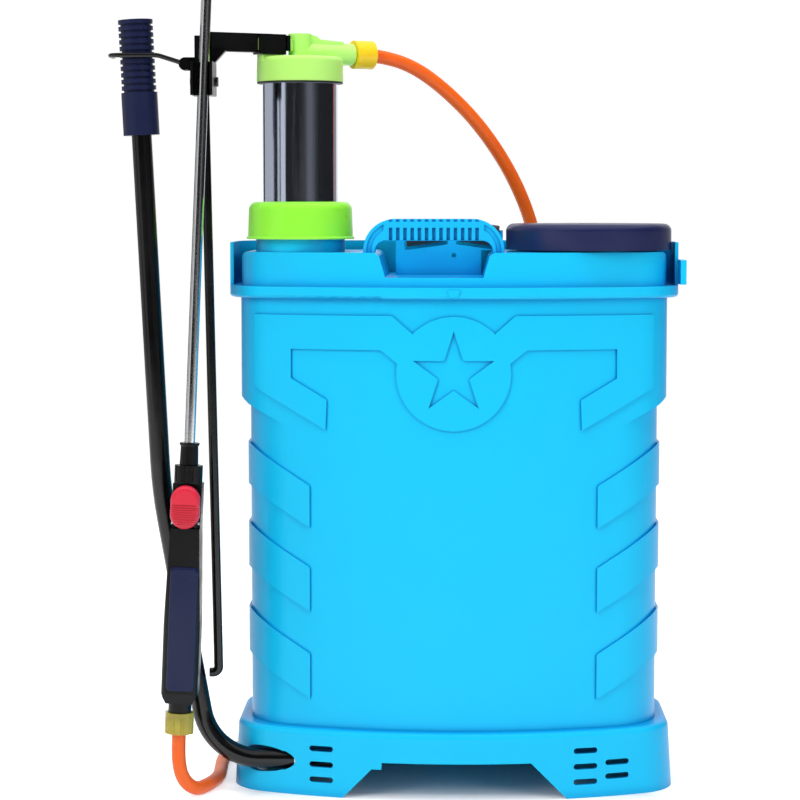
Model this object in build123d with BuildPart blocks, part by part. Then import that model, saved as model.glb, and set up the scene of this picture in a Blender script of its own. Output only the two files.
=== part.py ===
from build123d import *
import math
import os

# Backpack sprayer with a hand pump beside the wearer, in millimetres.
# X runs across the tank, Y from its front towards the wearer's back, Z up from the floor.
# The origin is on the floor, under the middle of the tank.

os.makedirs("parts", exist_ok=True)

# ---------------------------------------------------------------------------
# Driving dimensions
# ---------------------------------------------------------------------------

# Clearances
fit_gap = 0.05  # radial gap of parts that are fixed in one another
seat_gap = 0.3  # a fixed or soft piece to what carries it
slide_gap = 0.5  # radial play of a sliding tube
pin_gap = 0.25  # radial play of a pin in its hole
cut_through = 1.0  # how far a cut runs past the face that it opens

# Tank body
front_radius = 430.0  # bow of every front wall, in plan
back_hollow = 10.0  # how far the back wall curves in for the wearer
tank_wall = 3.0
tank_floor = 42.0
tank_front = -83.0
tank_back = 85.0
body_width = 355.0
tank_side = body_width / 2
pump_inset = 44.5
pump_x = pump_inset - tank_side
body_corner = 52.0
yoke_step = 7.5  # how far the yoke stands out at each side
yoke_width = body_width + 2 * yoke_step
yoke_corner = 38.0
yoke_top = 437.0
yoke_edge_side = 341.0  # lower edge of the yoke, at the side
yoke_edge_front = 307.0  # and where it runs out on the front
yoke_edge_inset = 54.5
yoke_edge_x = tank_side - yoke_edge_inset
shoulder_inset = 1.0
shoulder_top = 466.0
shoulder_round = 6.0
notch_left = -64.0
notch_inset = 12.0  # from the carry handle's right end to the notch
plate_inset = 13.0  # from the notch's left end to the strap plate
plate_space = 7.0  # and from the plate to its right end
notch_floor = 445.0
notch_slope = 6.0

# Relief on the front
relief_height = 2.4
disc_radius = 48.5
disc_centre = 364.0
star_radius = 36.0
star_inner_share = 0.382  # of a regular five-pointed star
side_band_rise = 33.0
side_band_rows = ((263.5, 300.0), (191.0, 229.5), (115.6, 154.7))  # lower and upper edge at the corner

# Top tray round the shoulders
lip_reach = 9.5  # how far the tray's lip stands out from the yoke
tray_width = yoke_width + 2 * lip_reach
tray_front = -92.0
tray_back = 93.0
tray_corner = 46.0
tray_wall = 3.0
lip_bottom = 427.0
tray_top = 474.0
tray_open_reach = 28.5  # from the front corners back to where the side walls start
lug_inset = 7.0
lug_z = 448.5
lug_height = 21.0
lug_width = 30.0
lug_reach = 5.0
lip_boss_width = 12.0
lip_boss_height = 6.0
lip_boss_slope = 65.0
lip_boss_reach = 1.2

# Base
base_height = 58.0
base_reach = 10.5  # how far the base stands out from the tank
base_flare = 3.5
base_top_width = body_width + 2 * base_reach
base_bottom_width = base_top_width + 2 * base_flare
base_front = -95.0
base_back = 95.0
base_corner = 42.0
base_wall = 3.5
base_edge_round = 5.0
window_height = 32.0
window_top = 130.0
window_bottom = 194.0
slot_length = 20.5
slot_height = 5.0

plate_hole_width = 240.0
plate_hole_depth = 90.0
rib_low = 10.0
axle_rib_spacing = 40.0
axle_rib_x = (pump_x, pump_x + axle_rib_spacing)
axle_rib_thickness = 4.0
axle_rib_depth = 36.0
axle_pocket_length = 56.0
axle_pocket_width = 16.0
recess_y = -78.5
recess_low = 5.0
bush_wall = 1.6
window_x = 1.5
window_tab_x = -61.0
window_tab_low = 26.0
slot_columns = ((-113.0, (41.4, 27.7, 14.5)), (113.4, (41.0, 27.3, 14.0)), (141.0, (29.5, 17.5)))
lever_hole_radius = 11.5
lever_hole_inset = 31.5
lever_hole_end = lever_hole_inset - tank_side

# Pump, seen from above
pump_y = -19.0
neck_radius = 38.5
neck_wall = 3.5
neck_top = 500.0
collar_radius = 45.5
collar_bottom = 477.0
collar_top = 509.0
bush_radius = 36.0
collar_round = 7.0
collar_flare = 1.2
chamber_radius = 32.5
chamber_wall = 1.0
chamber_bottom = 372.0
plug_height = 16.0
delivery_ball_radius = 6.5
delivery_seat_radius = 5.0
chamber_top = 628.0
cap_radius = 37.0
cap_bottom = 611.7
cap_top = 633.0
boss_radius = 10.0
boss_top = 653.0
outlet_height = 636.6
outlet_radius = 8.0
outlet_reach = 57.0
outlet_bore = 4.0
outlet_swell = 1.5
web_step = 13.0
web_fall = 4.0
web_height = 648.5
web_thickness = 12.0
cap_round = 4.0
relief_low = 643.0
nut_overlap = 6.0
nut_wall = 3.0
stub_size = 10.0
socket_near = 16.0
socket_far = 41.0
relief_radius = 3.6
relief_offset = 4.5
barrel_wall = 1.7
cylinder_wall = 2.5
barrel_bottom = 84.0
cylinder_radius = 24.0  # bore of the pump cylinder
cylinder_top = 285.0
plunger_radius = 10.0
plunger_bottom = 172.0
plunger_wall = 2.5
piston_height = 10.0
foot_valve_radius = 30.0
foot_ball_radius = 9.0
foot_seat_radius = 7.0
valve_skirt = 16.0
strainer_bottom = 58.0
strainer_slots = 12
flange_thickness = 2.5
gasket_thickness = 1.5

# Filler
lid_inset = 60.0
lid_x = tank_side - lid_inset
lid_y = 0.0
lid_radius = 72.0
lid_rise = 8.0  # from the filler's rim to the lid's top
lid_skirt = 14.5  # and down to its lower edge
lid_wall = 3.0
filler_radius = 60.0
filler_wall = 4.0
filler_top = 482.0
lid_top = filler_top + lid_rise
lid_bottom = filler_top - lid_skirt
basket_depth = 95.0
basket_radius = 54.0
basket_rows = 3
basket_pitch = 28.0
basket_slots = 12
lid_round = 6.5
lid_facets = 12
vent_radius = 3.0

# Carry handle
handle_left = -77.0
handle_lid_space = 2.5
handle_right = lid_x - lid_radius - handle_lid_space
notch_right = handle_right - notch_inset
handle_y = -55.0
handle_depth = 22.0
handle_top = 494.5
grip_height = 18.5
handle_leg = 10.0
handle_bend = 32.0
handle_edge = 1.0
grip_rib_pitch = 6.1
grip_ribs = int((handle_right - handle_left - 4 * handle_leg) / grip_rib_pitch)
rib_pocket_height = 10.5
rib_pocket_depth = 3.0
top_notch_height = 2.4
groove_width = 4.4
groove_depth = 1.6

# Strap plate between the shoulders
plate_y = 10.0
plate_thickness = 3.0
plate_foot_left = notch_left + plate_inset
plate_foot_right = notch_right - plate_space
plate_top = 484.0
strap_width = 34.0
strap_slant = 8.0
strap_spacing = 45.5
strap_inset = 22.0
strap_right_x = handle_right - strap_inset
strap_left_x = strap_right_x - strap_spacing
plate_margin = 26.5
plate_left = strap_left_x - plate_margin
plate_right = handle_right
strap_slot_z = 472.5
strap_slot_height = 7.0
strap_thickness = 1.6
strap_foot_x = 112.0
strap_lean = 0.2  # sideways run of a strap for each unit of its height
strap_swell = 122.0  # how far back the straps stand at their middle
loop_drop = 32.0
loop_over_wall = 5.4
loop_bends = (3.0, 3.0, 8.0, 8.0, 5.0)
web_top = 18.0
web_lead = 30.0
web_shoulder = 75.0
web_waist = 130.0
web_foot = 45.0
web_bends = (30.0, 40.0, 80.0, 40.0)
strap_foot_gap = 6.0
pad_drop = 85.0
anchor_low = 26.0
anchor_height = 16.0
anchor_y = 91.5
anchor_depth = 11.0
anchor_slot = 3.2
pad_width = 52.0
pad_length = 175.0
pad_thickness = 8.0
buckle_width = 46.0
buckle_height = 24.0
buckle_depth = 6.0

# Lever and its linkage
axle_y = -61.0
axle_z = 29.0
axle_inset = 95.5
axle_end = axle_inset - tank_side
lever_tube_radius = 8.5
axle_washer_radius = lever_tube_radius + 2 * bush_wall
lever_knee_reach = 73.0  # how far the lever stands out from the tank's side
lever_heel_reach = 32.0
lever_top_reach = 92.1
lever_knee = (-tank_side - lever_knee_reach, 262.0)
lever_heel_x = -tank_side - lever_heel_reach
lever_bend = 50.0
lever_top = (-tank_side - lever_top_reach, 662.0)
cap_overlap = 4.0  # how far the grip's closed end covers the tube's
lever_grip_length = 97.0
lever_grip_radius = 14.6
lever_sleeve_radius = 15.3
lever_knee_radius = 400.0
lever_tube_wall = 1.5
lever_ribs = 11
lever_sleeve_length = 36.0
rib_depth = 1.8
rib_share = 0.62
split_pin_radius = 1.2
crank_radius = 75.0
link_bend = 5.0
link_rod_radius = 4.0
link_hook_gap = 3.2
link_top_reach = 33.9
link_foot_reach = 24.8
link_top = (-tank_side - link_top_reach, 610.0)
link_bottom_x = -tank_side - link_foot_reach
link_eye_radius = 6.0
link_pin_radius = 2.5

# Arm and lance bracket
arm_low = 636.0
arm_height = 16.0
arm_thickness = 9.0
socket_low = 634.6
socket_height = 17.0
socket_width = 17.0
bracket_width = 18.6
bracket_wall = 2.3
bracket_bottom = 598.0
bracket_step = 626.0
bracket_top = 648.0
bracket_neck = 13.4
bracket_back = -50.0
bracket_face = -75.8
fork_reach = 11.0
fork_round = 2.0
clip_thickness = 3.0
hook_reach = 49.0
hook_catch_reach = 90.5
hook_pivot = (-tank_side - hook_reach, 624.7)
hook_catch = (-tank_side - hook_catch_reach, 631.5)  # where it holds the lever's grip
hook_bends = (12.0, 8.0)
hook_pin_radius = 2.0
hook_wire_radius = 2.0
hook_eye_radius = 5.6
ear_thickness = 4.0

# Lance and its valve handle
lance_foot_reach = 56.2
lance_head_reach = 29.7
lance_foot = (-tank_side - lance_foot_reach, -92.0, 57.8)
lance_head = (-tank_side - lance_head_reach, -80.0, 679.6)
lance_tube_radius = 4.5
lance_wall = 0.7
hose_nut_radius = 12.3
hose_nut_length = 18.0
valve_neck_length = 8.5
valve_body_top = 214.0
valve_body_width = 24.5
valve_body_depth = 27.0
valve_belly_width = 31.0
valve_belly_depth = 29.0
valve_foot_share = 0.72
valve_foot_height = 9.0
gland_length = 15.0
gland_radius = 11.9
socket_length = 19.0
lance_end = 728.0
valve_corner = 6.0
panel_offset = 1.0
panel_seat = 12.4
panel_centre = 91.0
panel_width = 23.8
panel_length = 106.0
panel_thickness = 3.8
panel_round = 4.0
button_seat = 14.0
button_ribs = 10
button_rib_pitch = 2.0
button_rib_depth = 1.2
lug_thickness = 10.0
spring_radius = 3.6
spring_wire = 0.45
valve_neck_radius = 9.8
trigger_face = 7.0  # how far the front of the body stands ahead of the lance's axis, under the trigger
cheek_x = 9.0
cheek_thickness = 3.0
cheek_height = 7.0
pivot_height = 181.0
pivot_y = -10.0
pivot_radius = 1.5
stem_height = 205.0
stem_radius = 2.5
spring_bore = 5.0
stem_travel = 3.8
button_width = 24.6
button_bottom = 176.8
button_top = 213.4
button_thickness = 9.0
spring_turns = 5
gland_flutes = 10
socket_radius = 7.9
nozzle_length = 26.0
nozzle_socket = 12.0
nozzle_radius = 7.5
nozzle_cap_radius = 9.0
nozzle_hole = 0.8

# Hose
hose_radius = 6.0
floor_height = 6.3  # middle of the hose where it lies on the floor

# ---------------------------------------------------------------------------
# Values worked out from the driving dimensions
# ---------------------------------------------------------------------------

arm_run = Vector(link_top[0] - pump_x, axle_y - pump_y, 0)
arm_reach = arm_run.length
arm_direction = arm_run.normalized()
pump_plane = Plane(origin=(pump_x, pump_y, 0))
head_plane = Plane(origin=(pump_x, pump_y, 0), x_dir=-arm_direction, z_dir=(0, 0, 1))
lid_plane = Plane(origin=(lid_x, lid_y, 0))
lance_axis = (Vector(*lance_head) - Vector(*lance_foot)).normalized()
lance_plane = Plane(origin=lance_foot, x_dir=(1, 0, 0), z_dir=lance_axis)
star_points = 5
tray_corner_y = tray_front + front_radius - math.sqrt(front_radius**2 - (tray_width / 2) ** 2)
tray_open_y = tray_corner_y + tray_open_reach
lug_y = tray_open_y + lug_inset


# ---------------------------------------------------------------------------
# Shared profiles
# ---------------------------------------------------------------------------


def plan_outline(height, width, front, back, corner):
    """Plan section of the mouldings: bowed front, straight sides and a hollow back."""
    half = width / 2
    bow = front_radius - math.sqrt(front_radius**2 - half**2)
    edge = back - back_hollow + back_hollow * (width / yoke_width) ** 2
    with BuildSketch(Plane.XY.offset(height)) as outline:
        with BuildLine():
            ThreePointArc((-half, front + bow), (0, front), (half, front + bow))
            Line((half, front + bow), (half, edge))
            ThreePointArc((half, edge), (0, back - back_hollow), (-half, edge))
            Line((-half, edge), (-half, front + bow))
        make_face()
        fillet(outline.vertices(), corner)
    return outline.sketch


def front_plane(depth):
    """Upright plane that faces the front, at this depth along Y."""
    return Plane.XZ.offset(-depth)


def turn(plane, *outline, mode=Mode.ADD):
    """Turn a closed outline of (radius, height) points about the plane's own axis."""
    section = Plane(origin=plane.origin, x_dir=plane.x_dir, z_dir=-plane.y_dir)
    with BuildSketch(section) as profile:
        with BuildLine():
            Polyline(*outline, close=True)
        make_face()
    revolve(profile.sketch, axis=Axis(plane.origin, plane.z_dir), mode=mode)


def disc(plane, radius, low, high, mode=Mode.ADD):
    """A round solid about the plane's axis, between two heights."""
    turn(plane, (0, low), (radius, low), (radius, high), (0, high), mode=mode)


def ring(plane, outer, inner, low, high, mode=Mode.ADD):
    """A ring about the plane's axis, between two heights."""
    turn(plane, (inner, low), (outer, low), (outer, high), (inner, high), mode=mode)


def bore(plane, radius, low, high):
    """A round hole about the plane's axis that breaks through the upper face."""
    disc(plane, radius, low, high + cut_through, mode=Mode.SUBTRACT)


def rod(start, end, radius, mode=Mode.ADD):
    """A round bar between two points."""
    run = Vector(*end) - Vector(*start)
    with BuildSketch(Plane(origin=start, z_dir=run.normalized())) as section:
        Circle(radius)
    extrude(section.sketch, amount=run.length, mode=mode)


def side_of(width, front, reach, corner_wall, back=tank_back):
    """Width, front, back and corner of an outline that stands out by a reach."""
    return width + 2 * reach, front - reach, back + reach, corner_wall + reach


# ---------------------------------------------------------------------------
# Tank
# ---------------------------------------------------------------------------


def shoulder_view(inset, low):
    """Front view of the tank with its two raised shoulders and the notch between them."""
    side = yoke_width / 2 - shoulder_inset - inset
    high = shoulder_top - inset
    floor = notch_floor - inset
    with BuildSketch(front_plane(0)) as view:
        with BuildLine():
            Polyline(
                (-side, low),
                (-side, high),
                (notch_left - inset, high),
                (notch_left - inset + notch_slope, floor),
                (notch_right + inset - notch_slope, floor),
                (notch_right + inset, high),
                (side, high),
                (side, low),
                close=True,
            )
        make_face()
        fillet(view.vertices().group_by(Axis.Y)[-1], shoulder_round)
    return view.sketch


with BuildPart() as yoke:
    extrude(
        plan_outline(yoke_edge_front, yoke_width, tank_front, tank_back, yoke_corner),
        amount=yoke_top - yoke_edge_front,
    )
    with BuildSketch(front_plane(0)):
        with BuildLine():
            Polyline(
                (-yoke_width, yoke_top),
                (-yoke_width, yoke_edge_side),
                (-yoke_width / 2, yoke_edge_side),
                (-body_width / 2, yoke_edge_side - notch_slope),
                (-yoke_edge_x, yoke_edge_front),
                (yoke_edge_x, yoke_edge_front),
                (body_width / 2, yoke_edge_side - notch_slope),
                (yoke_width / 2, yoke_edge_side),
                (yoke_width, yoke_edge_side),
                (yoke_width, yoke_top),
                close=True,
            )
        make_face()
    extrude(amount=yoke_width, both=True, mode=Mode.INTERSECT)

with BuildPart() as shoulders:
    extrude(
        plan_outline(
            yoke_top - gasket_thickness,
            *side_of(yoke_width, tank_front, -shoulder_inset, yoke_corner),
        ),
        amount=shoulder_top - yoke_top + gasket_thickness,
    )
    extrude(shoulder_view(0, lip_bottom), amount=yoke_width, both=True, mode=Mode.INTERSECT)

band_points = (
    (-171, 413),
    (-52, 413),
    (-35, 398),
    (-47, 372),
    (-62, 384),
    (-139, 384),
    (-139, 359),
    (-108, 341),
    (-109, 315),
    (-171, 350),
)

with BuildPart() as front_relief:
    extrude(
        plan_outline(yoke_edge_front, *side_of(yoke_width, tank_front, relief_height, yoke_corner)),
        amount=lip_bottom - yoke_edge_front,
    )
    with BuildSketch(front_plane(0)):
        with BuildLine():
            Polyline(*band_points, close=True)
        make_face()
        mirror(about=Plane.YZ)
        with Locations((0, disc_centre)):
            Circle(disc_radius)
    extrude(amount=-tank_front + 2 * relief_height, mode=Mode.INTERSECT)
    star_inner = star_radius * star_inner_share
    star_corners = []
    for point in range(star_points):
        angle = 2 * math.pi * point / star_points
        half_step = math.pi / star_points
        for reach, turned in ((star_radius, angle), (star_inner, angle + half_step)):
            star_corners.append((reach * math.sin(turned), disc_centre + reach * math.cos(turned)))
    with BuildSketch(front_plane(0)):
        with BuildLine():
            Polyline(*star_corners, close=True)
        make_face()
    extrude(amount=-tank_front + 2 * relief_height, mode=Mode.SUBTRACT)

with BuildPart() as side_bands:
    extrude(
        plan_outline(base_height, *side_of(body_width, tank_front, relief_height, body_corner)),
        amount=yoke_edge_front - base_height,
    )
    with BuildSketch(front_plane(0)):
        for low, high in side_band_rows:
            with BuildLine():
                Polyline(
                    (-body_width, low),
                    (-body_width / 2, low),
                    (-yoke_edge_x, low - side_band_rise),
                    (-yoke_edge_x, high - side_band_rise),
                    (-body_width / 2, high),
                    (-body_width, high),
                    close=True,
                )
            make_face()
        mirror(about=Plane.YZ)
    extrude(amount=yoke_width, both=True, mode=Mode.INTERSECT)

with BuildPart() as cavity:
    extrude(
        plan_outline(
            tank_floor + tank_wall,
            *side_of(body_width, tank_front, -tank_wall, body_corner, tank_back),
        ),
        amount=shoulder_top - tank_floor,
    )
    extrude(shoulder_view(tank_wall, tank_floor), amount=yoke_width, both=True, mode=Mode.INTERSECT)

with BuildPart() as tank_shell:
    extrude(
        plan_outline(tank_floor, body_width, tank_front, tank_back, body_corner),
        amount=yoke_top - tank_floor,
    )
    add(yoke.part)
    add(shoulders.part)
    add(front_relief.part)
    add(side_bands.part)
    disc(pump_plane, neck_radius, yoke_top, neck_top)
    disc(lid_plane, filler_radius, yoke_top, filler_top)
    add(cavity.part, mode=Mode.SUBTRACT)
    neck_bore = neck_radius - neck_wall
    filler_bore = filler_radius - filler_wall
    bore(pump_plane, neck_bore, yoke_edge_side, neck_top)
    bore(lid_plane, filler_bore, yoke_edge_side, filler_top)

tank_shell.part.label = "tank_shell"
export_step(tank_shell.part, "parts/tank_shell.step")

# ---------------------------------------------------------------------------
# Top tray round the shoulders
# ---------------------------------------------------------------------------

tray_height = tray_top - lip_bottom

with BuildPart() as top_tray:
    extrude(plan_outline(lip_bottom, tray_width, tray_front, tray_back, tray_corner), amount=tray_height)
    lip_corners = top_tray.faces().sort_by(Axis.Z)[0].edges()
    fillet(lip_corners, tray_wall)
    extrude(
        plan_outline(
            yoke_top,
            tray_width - 2 * tray_wall,
            tray_front + tray_wall,
            tray_back - tray_wall,
            tray_corner - tray_wall,
        ),
        amount=tray_height,
        mode=Mode.SUBTRACT,
    )
    extrude(
        plan_outline(lip_bottom, *side_of(yoke_width, tank_front, seat_gap, yoke_corner)),
        amount=tray_height,
        mode=Mode.SUBTRACT,
    )
    with BuildSketch(Plane.XY.offset(yoke_top)):
        with Locations((0, tray_open_y)):
            Rectangle(tray_width + cut_through, tray_width, align=(Align.CENTER, Align.MAX))
    extrude(amount=tray_height, mode=Mode.SUBTRACT)
    with BuildSketch(front_plane(lug_y)):
        with Locations((tray_width / 2, lug_z)):
            Rectangle(lug_reach, lug_height, align=(Align.MIN, Align.CENTER))
    extrude(amount=lug_width)
    # small boss in the middle of the front lip
    with BuildSketch(front_plane(0)):
        with Locations((0, (lip_bottom + yoke_top) / 2)):
            Trapezoid(lip_boss_width, lip_boss_height, lip_boss_slope, rotation=180)
    extrude(amount=-tray_front + lip_boss_reach)
    extrude(
        plan_outline(lip_bottom, *side_of(yoke_width, tank_front, seat_gap, yoke_corner)),
        amount=tray_height,
        mode=Mode.SUBTRACT,
    )

top_tray.part.label = "top_tray"
export_step(top_tray.part, "parts/top_tray.step")

# ---------------------------------------------------------------------------
# Base
# ---------------------------------------------------------------------------

seat_width = body_width + 2 * seat_gap
rib_top = tank_floor - base_wall

with BuildPart() as axle_ribs:
    with BuildSketch(Plane.XY.offset(rib_low)):
        with Locations(*((x, axle_y) for x in axle_rib_x)):
            Rectangle(axle_rib_thickness, axle_rib_depth)
    extrude(amount=rib_top - rib_low)
    inside = side_of(base_top_width, base_front, -base_wall / 2, base_corner, base_back)
    extrude(plan_outline(rib_low, *inside), amount=base_height, mode=Mode.INTERSECT)

with BuildPart() as base_skirt:
    bottom = plan_outline(0, base_bottom_width, base_front, base_back, base_corner)
    top = plan_outline(base_height, base_top_width, base_front, base_back, base_corner)
    loft(sections=[bottom.face(), top.face()])
    fillet(base_skirt.faces().sort_by(Axis.Z)[-1].edges(), base_edge_round)
    inner_low = plan_outline(
        -cut_through, *side_of(base_bottom_width, base_front, -base_wall, base_corner, base_back)
    )
    inner_high = plan_outline(
        base_height - base_wall, *side_of(base_top_width, base_front, -base_wall, base_corner, base_back)
    )
    loft(sections=[inner_low.face(), inner_high.face()], mode=Mode.SUBTRACT)
    extrude(
        plan_outline(rib_top, *side_of(seat_width, tank_front, seat_gap + base_wall, body_corner)),
        amount=base_height - base_wall - rib_top,
    )
    extrude(
        plan_outline(tank_floor, *side_of(body_width, tank_front, seat_gap, body_corner)),
        amount=base_height,
        mode=Mode.SUBTRACT,
    )
    with BuildSketch(Plane.XY.offset(rib_top - cut_through)):
        RectangleRounded(plate_hole_width, plate_hole_depth, base_edge_round)
    extrude(amount=base_wall + 2 * cut_through, mode=Mode.SUBTRACT)
    # loops on the back that hold the lower ends of the straps
    for side in (-1, 1):
        with BuildSketch(Plane.XY.offset(anchor_low)):
            with Locations((side * strap_foot_x, anchor_y)):
                Rectangle(strap_width + 4 * base_wall, anchor_depth)
                Rectangle(strap_width + 2.5 * base_wall, anchor_slot, mode=Mode.SUBTRACT)
        extrude(amount=anchor_height)
    # two ribs under the tank carry the lever's axle
    add(axle_ribs.part)
    # recessed wall behind the window
    with BuildSketch(Plane.XY.offset(recess_low)):
        with Locations((window_x, recess_y)):
            Rectangle(window_bottom + 2 * base_wall, base_wall)
    extrude(amount=rib_top - recess_low)
    with BuildSketch(Plane.XY.offset(rib_top)):
        with Locations((sum(axle_rib_x) / 2, axle_y)):
            Rectangle(axle_pocket_length, axle_pocket_width)
    extrude(amount=base_wall, mode=Mode.SUBTRACT)
    # window at the front, with a tab in its upper left corner
    with BuildSketch(front_plane(0)):
        with BuildLine():
            Polyline(
                (window_x - window_bottom / 2, -cut_through),
                (window_x + window_bottom / 2, -cut_through),
                (window_x + window_top / 2, window_height),
                (window_tab_x, window_height),
                (window_tab_x, window_tab_low),
                (window_x - window_top / 2 - window_height + window_tab_low, window_tab_low),
                close=True,
            )
        make_face()
    extrude(amount=-base_front + cut_through, mode=Mode.SUBTRACT)
    # air slots
    with BuildSketch(front_plane(-body_corner)):
        for x, rows in slot_columns:
            with Locations(*((x, z) for z in rows)):
                SlotOverall(slot_length, slot_height)
    extrude(amount=-base_front, mode=Mode.SUBTRACT)
    # hole for the lever in the rounded corner, and the axle's holes in the ribs
    for start, end, radius in (
        (-base_bottom_width, lever_hole_end, lever_hole_radius),
        (lever_hole_end, axle_rib_x[0] - axle_rib_thickness / 2, axle_washer_radius + seat_gap),
    ):
        rod((start, axle_y, axle_z), (end, axle_y, axle_z), radius, Mode.SUBTRACT)
    rod(
        (lever_hole_end, axle_y, axle_z),
        (axle_end, axle_y, axle_z),
        lever_tube_radius + bush_wall + seat_gap,
        Mode.SUBTRACT,
    )

base_skirt.part.label = "base_skirt"
export_step(base_skirt.part, "parts/base_skirt.step")

with BuildPart() as lever_bushes:
    for x in axle_rib_x:
        bush_plane = Plane(origin=(x, axle_y, axle_z), x_dir=(0, 1, 0), z_dir=(1, 0, 0))
        half = axle_rib_thickness / 2
        inner = lever_tube_radius + pin_gap
        ring(bush_plane, lever_tube_radius + bush_wall, inner, -half, half)
        ring(bush_plane, lever_tube_radius + 2 * bush_wall, inner, -half - bush_wall, -half)

lever_bushes.part.label = "lever_bushes"
export_step(lever_bushes.part, "parts/lever_bushes.step")

# ---------------------------------------------------------------------------
# Pump: what stays on the tank
# ---------------------------------------------------------------------------

gasket_top = neck_top + gasket_thickness
flange_top = gasket_top + flange_thickness
sleeve_bore = chamber_radius + slide_gap
sleeve_outer = sleeve_bore + barrel_wall
cylinder_outer = cylinder_radius + cylinder_wall
sleeve_cone = sleeve_bore - cylinder_radius
collar_bore = neck_radius + slide_gap
collar_ceiling = flange_top + seat_gap

with BuildPart() as collar_gasket:
    ring(pump_plane, neck_radius, sleeve_outer + fit_gap, neck_top, gasket_top)

collar_gasket.part.label = "collar_gasket"
export_step(collar_gasket.part, "parts/collar_gasket.step")

with BuildPart() as pump_barrel:
    turn(
        pump_plane,
        (sleeve_bore, flange_top),
        (neck_radius, flange_top),
        (neck_radius, gasket_top),
        (sleeve_outer, gasket_top),
        (sleeve_outer, cylinder_top + sleeve_cone),
        (cylinder_outer, cylinder_top),
        (cylinder_outer, barrel_bottom),
        (cylinder_radius, barrel_bottom),
        (cylinder_radius, cylinder_top),
        (sleeve_bore, cylinder_top + sleeve_cone),
    )

pump_barrel.part.label = "pump_barrel"
export_step(pump_barrel.part, "parts/pump_barrel.step")

with BuildPart() as guide_bush:
    ring(pump_plane, bush_radius, sleeve_bore, flange_top, collar_top - slide_gap)

guide_bush.part.label = "guide_bush"
export_step(guide_bush.part, "parts/guide_bush.step")

with BuildPart() as pump_collar:
    turn(
        pump_plane,
        (collar_bore, collar_bottom),
        (collar_radius + collar_flare, collar_bottom),
        (collar_radius + collar_flare, collar_bottom + collar_flare),
        (collar_radius, collar_bottom + 2 * collar_flare),
        (collar_radius - 2 * slide_gap, collar_top),
        (bush_radius + seat_gap, collar_top),
        (bush_radius + seat_gap, collar_ceiling),
        (collar_bore, collar_ceiling),
    )
    top_rim = pump_collar.edges().filter_by(GeomType.CIRCLE).group_by(Axis.Z)[-1].sort_by(SortBy.RADIUS)[-1]
    fillet(top_rim, collar_round)

pump_collar.part.label = "pump_collar"
export_step(pump_collar.part, "parts/pump_collar.step")

valve_floor = barrel_bottom - 2 * cylinder_wall - tank_wall
with BuildPart() as foot_valve_seat:
    turn(
        pump_plane,
        (foot_seat_radius, valve_floor),
        (foot_valve_radius, valve_floor),
        (foot_valve_radius, barrel_bottom + valve_skirt),
        (cylinder_outer + fit_gap, barrel_bottom + valve_skirt),
        (cylinder_outer + fit_gap, barrel_bottom),
        (foot_seat_radius + 2 * cylinder_wall, barrel_bottom),
        (foot_seat_radius, barrel_bottom - 2 * cylinder_wall),
    )

foot_valve_seat.part.label = "foot_valve_seat"
export_step(foot_valve_seat.part, "parts/foot_valve_seat.step")

foot_ball_rise = math.sqrt(foot_ball_radius**2 - foot_seat_radius**2) + fit_gap
with BuildPart(Plane.XY.offset(barrel_bottom - 2 * cylinder_wall + foot_ball_rise)) as foot_valve_ball:
    with Locations((pump_x, pump_y)):
        Sphere(foot_ball_radius)

foot_valve_ball.part.label = "foot_valve_ball"
export_step(foot_valve_ball.part, "parts/foot_valve_ball.step")

with BuildPart() as suction_strainer:
    ring(pump_plane, foot_valve_radius, foot_valve_radius - cylinder_wall, strainer_bottom, valve_floor)
    disc(pump_plane, foot_valve_radius, strainer_bottom, strainer_bottom + cylinder_wall)
    with BuildSketch(pump_plane.offset(strainer_bottom + 2 * cylinder_wall)):
        with PolarLocations(foot_valve_radius, strainer_slots):
            Rectangle(4 * cylinder_wall, cylinder_wall)
    extrude(amount=valve_floor - strainer_bottom - 3 * cylinder_wall, mode=Mode.SUBTRACT)

suction_strainer.part.label = "suction_strainer"
export_step(suction_strainer.part, "parts/suction_strainer.step")

# ---------------------------------------------------------------------------
# Pump: the air chamber and what moves with it
# ---------------------------------------------------------------------------

chamber_bore = chamber_radius - chamber_wall
plug_radius = chamber_bore - fit_gap
plug_top = chamber_bottom + plug_height
plunger_top = chamber_bottom + plug_height / 2

with BuildPart() as air_chamber:
    ring(pump_plane, chamber_radius, chamber_bore, chamber_bottom, chamber_top)

air_chamber.part.label = "air_chamber"
export_step(air_chamber.part, "parts/air_chamber.step")

with BuildPart() as chamber_plug:
    turn(
        pump_plane,
        (plunger_radius + fit_gap, chamber_bottom),
        (plug_radius, chamber_bottom),
        (plug_radius, plug_top),
        (delivery_seat_radius + tank_wall, plug_top),
        (delivery_seat_radius, plug_top - tank_wall),
        (delivery_seat_radius, plunger_top),
        (plunger_radius + fit_gap, plunger_top),
    )

chamber_plug.part.label = "chamber_plug"
export_step(chamber_plug.part, "parts/chamber_plug.step")

delivery_rise = math.sqrt(delivery_ball_radius**2 - delivery_seat_radius**2) + fit_gap
with BuildPart(Plane.XY.offset(plug_top - tank_wall + delivery_rise)) as delivery_ball:
    with Locations((pump_x, pump_y)):
        Sphere(delivery_ball_radius)

delivery_ball.part.label = "delivery_ball"
export_step(delivery_ball.part, "parts/delivery_ball.step")

with BuildPart() as plunger_tube:
    ring(pump_plane, plunger_radius, plunger_radius - plunger_wall, plunger_bottom, plunger_top)

plunger_tube.part.label = "plunger_tube"
export_step(plunger_tube.part, "parts/plunger_tube.step")

piston_bore = plunger_radius + fit_gap
piston_top = plunger_bottom + piston_height
with BuildPart() as piston:
    ring(pump_plane, cylinder_radius - slide_gap, piston_bore, plunger_bottom, piston_top)

piston.part.label = "piston"
export_step(piston.part, "parts/piston.step")

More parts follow.
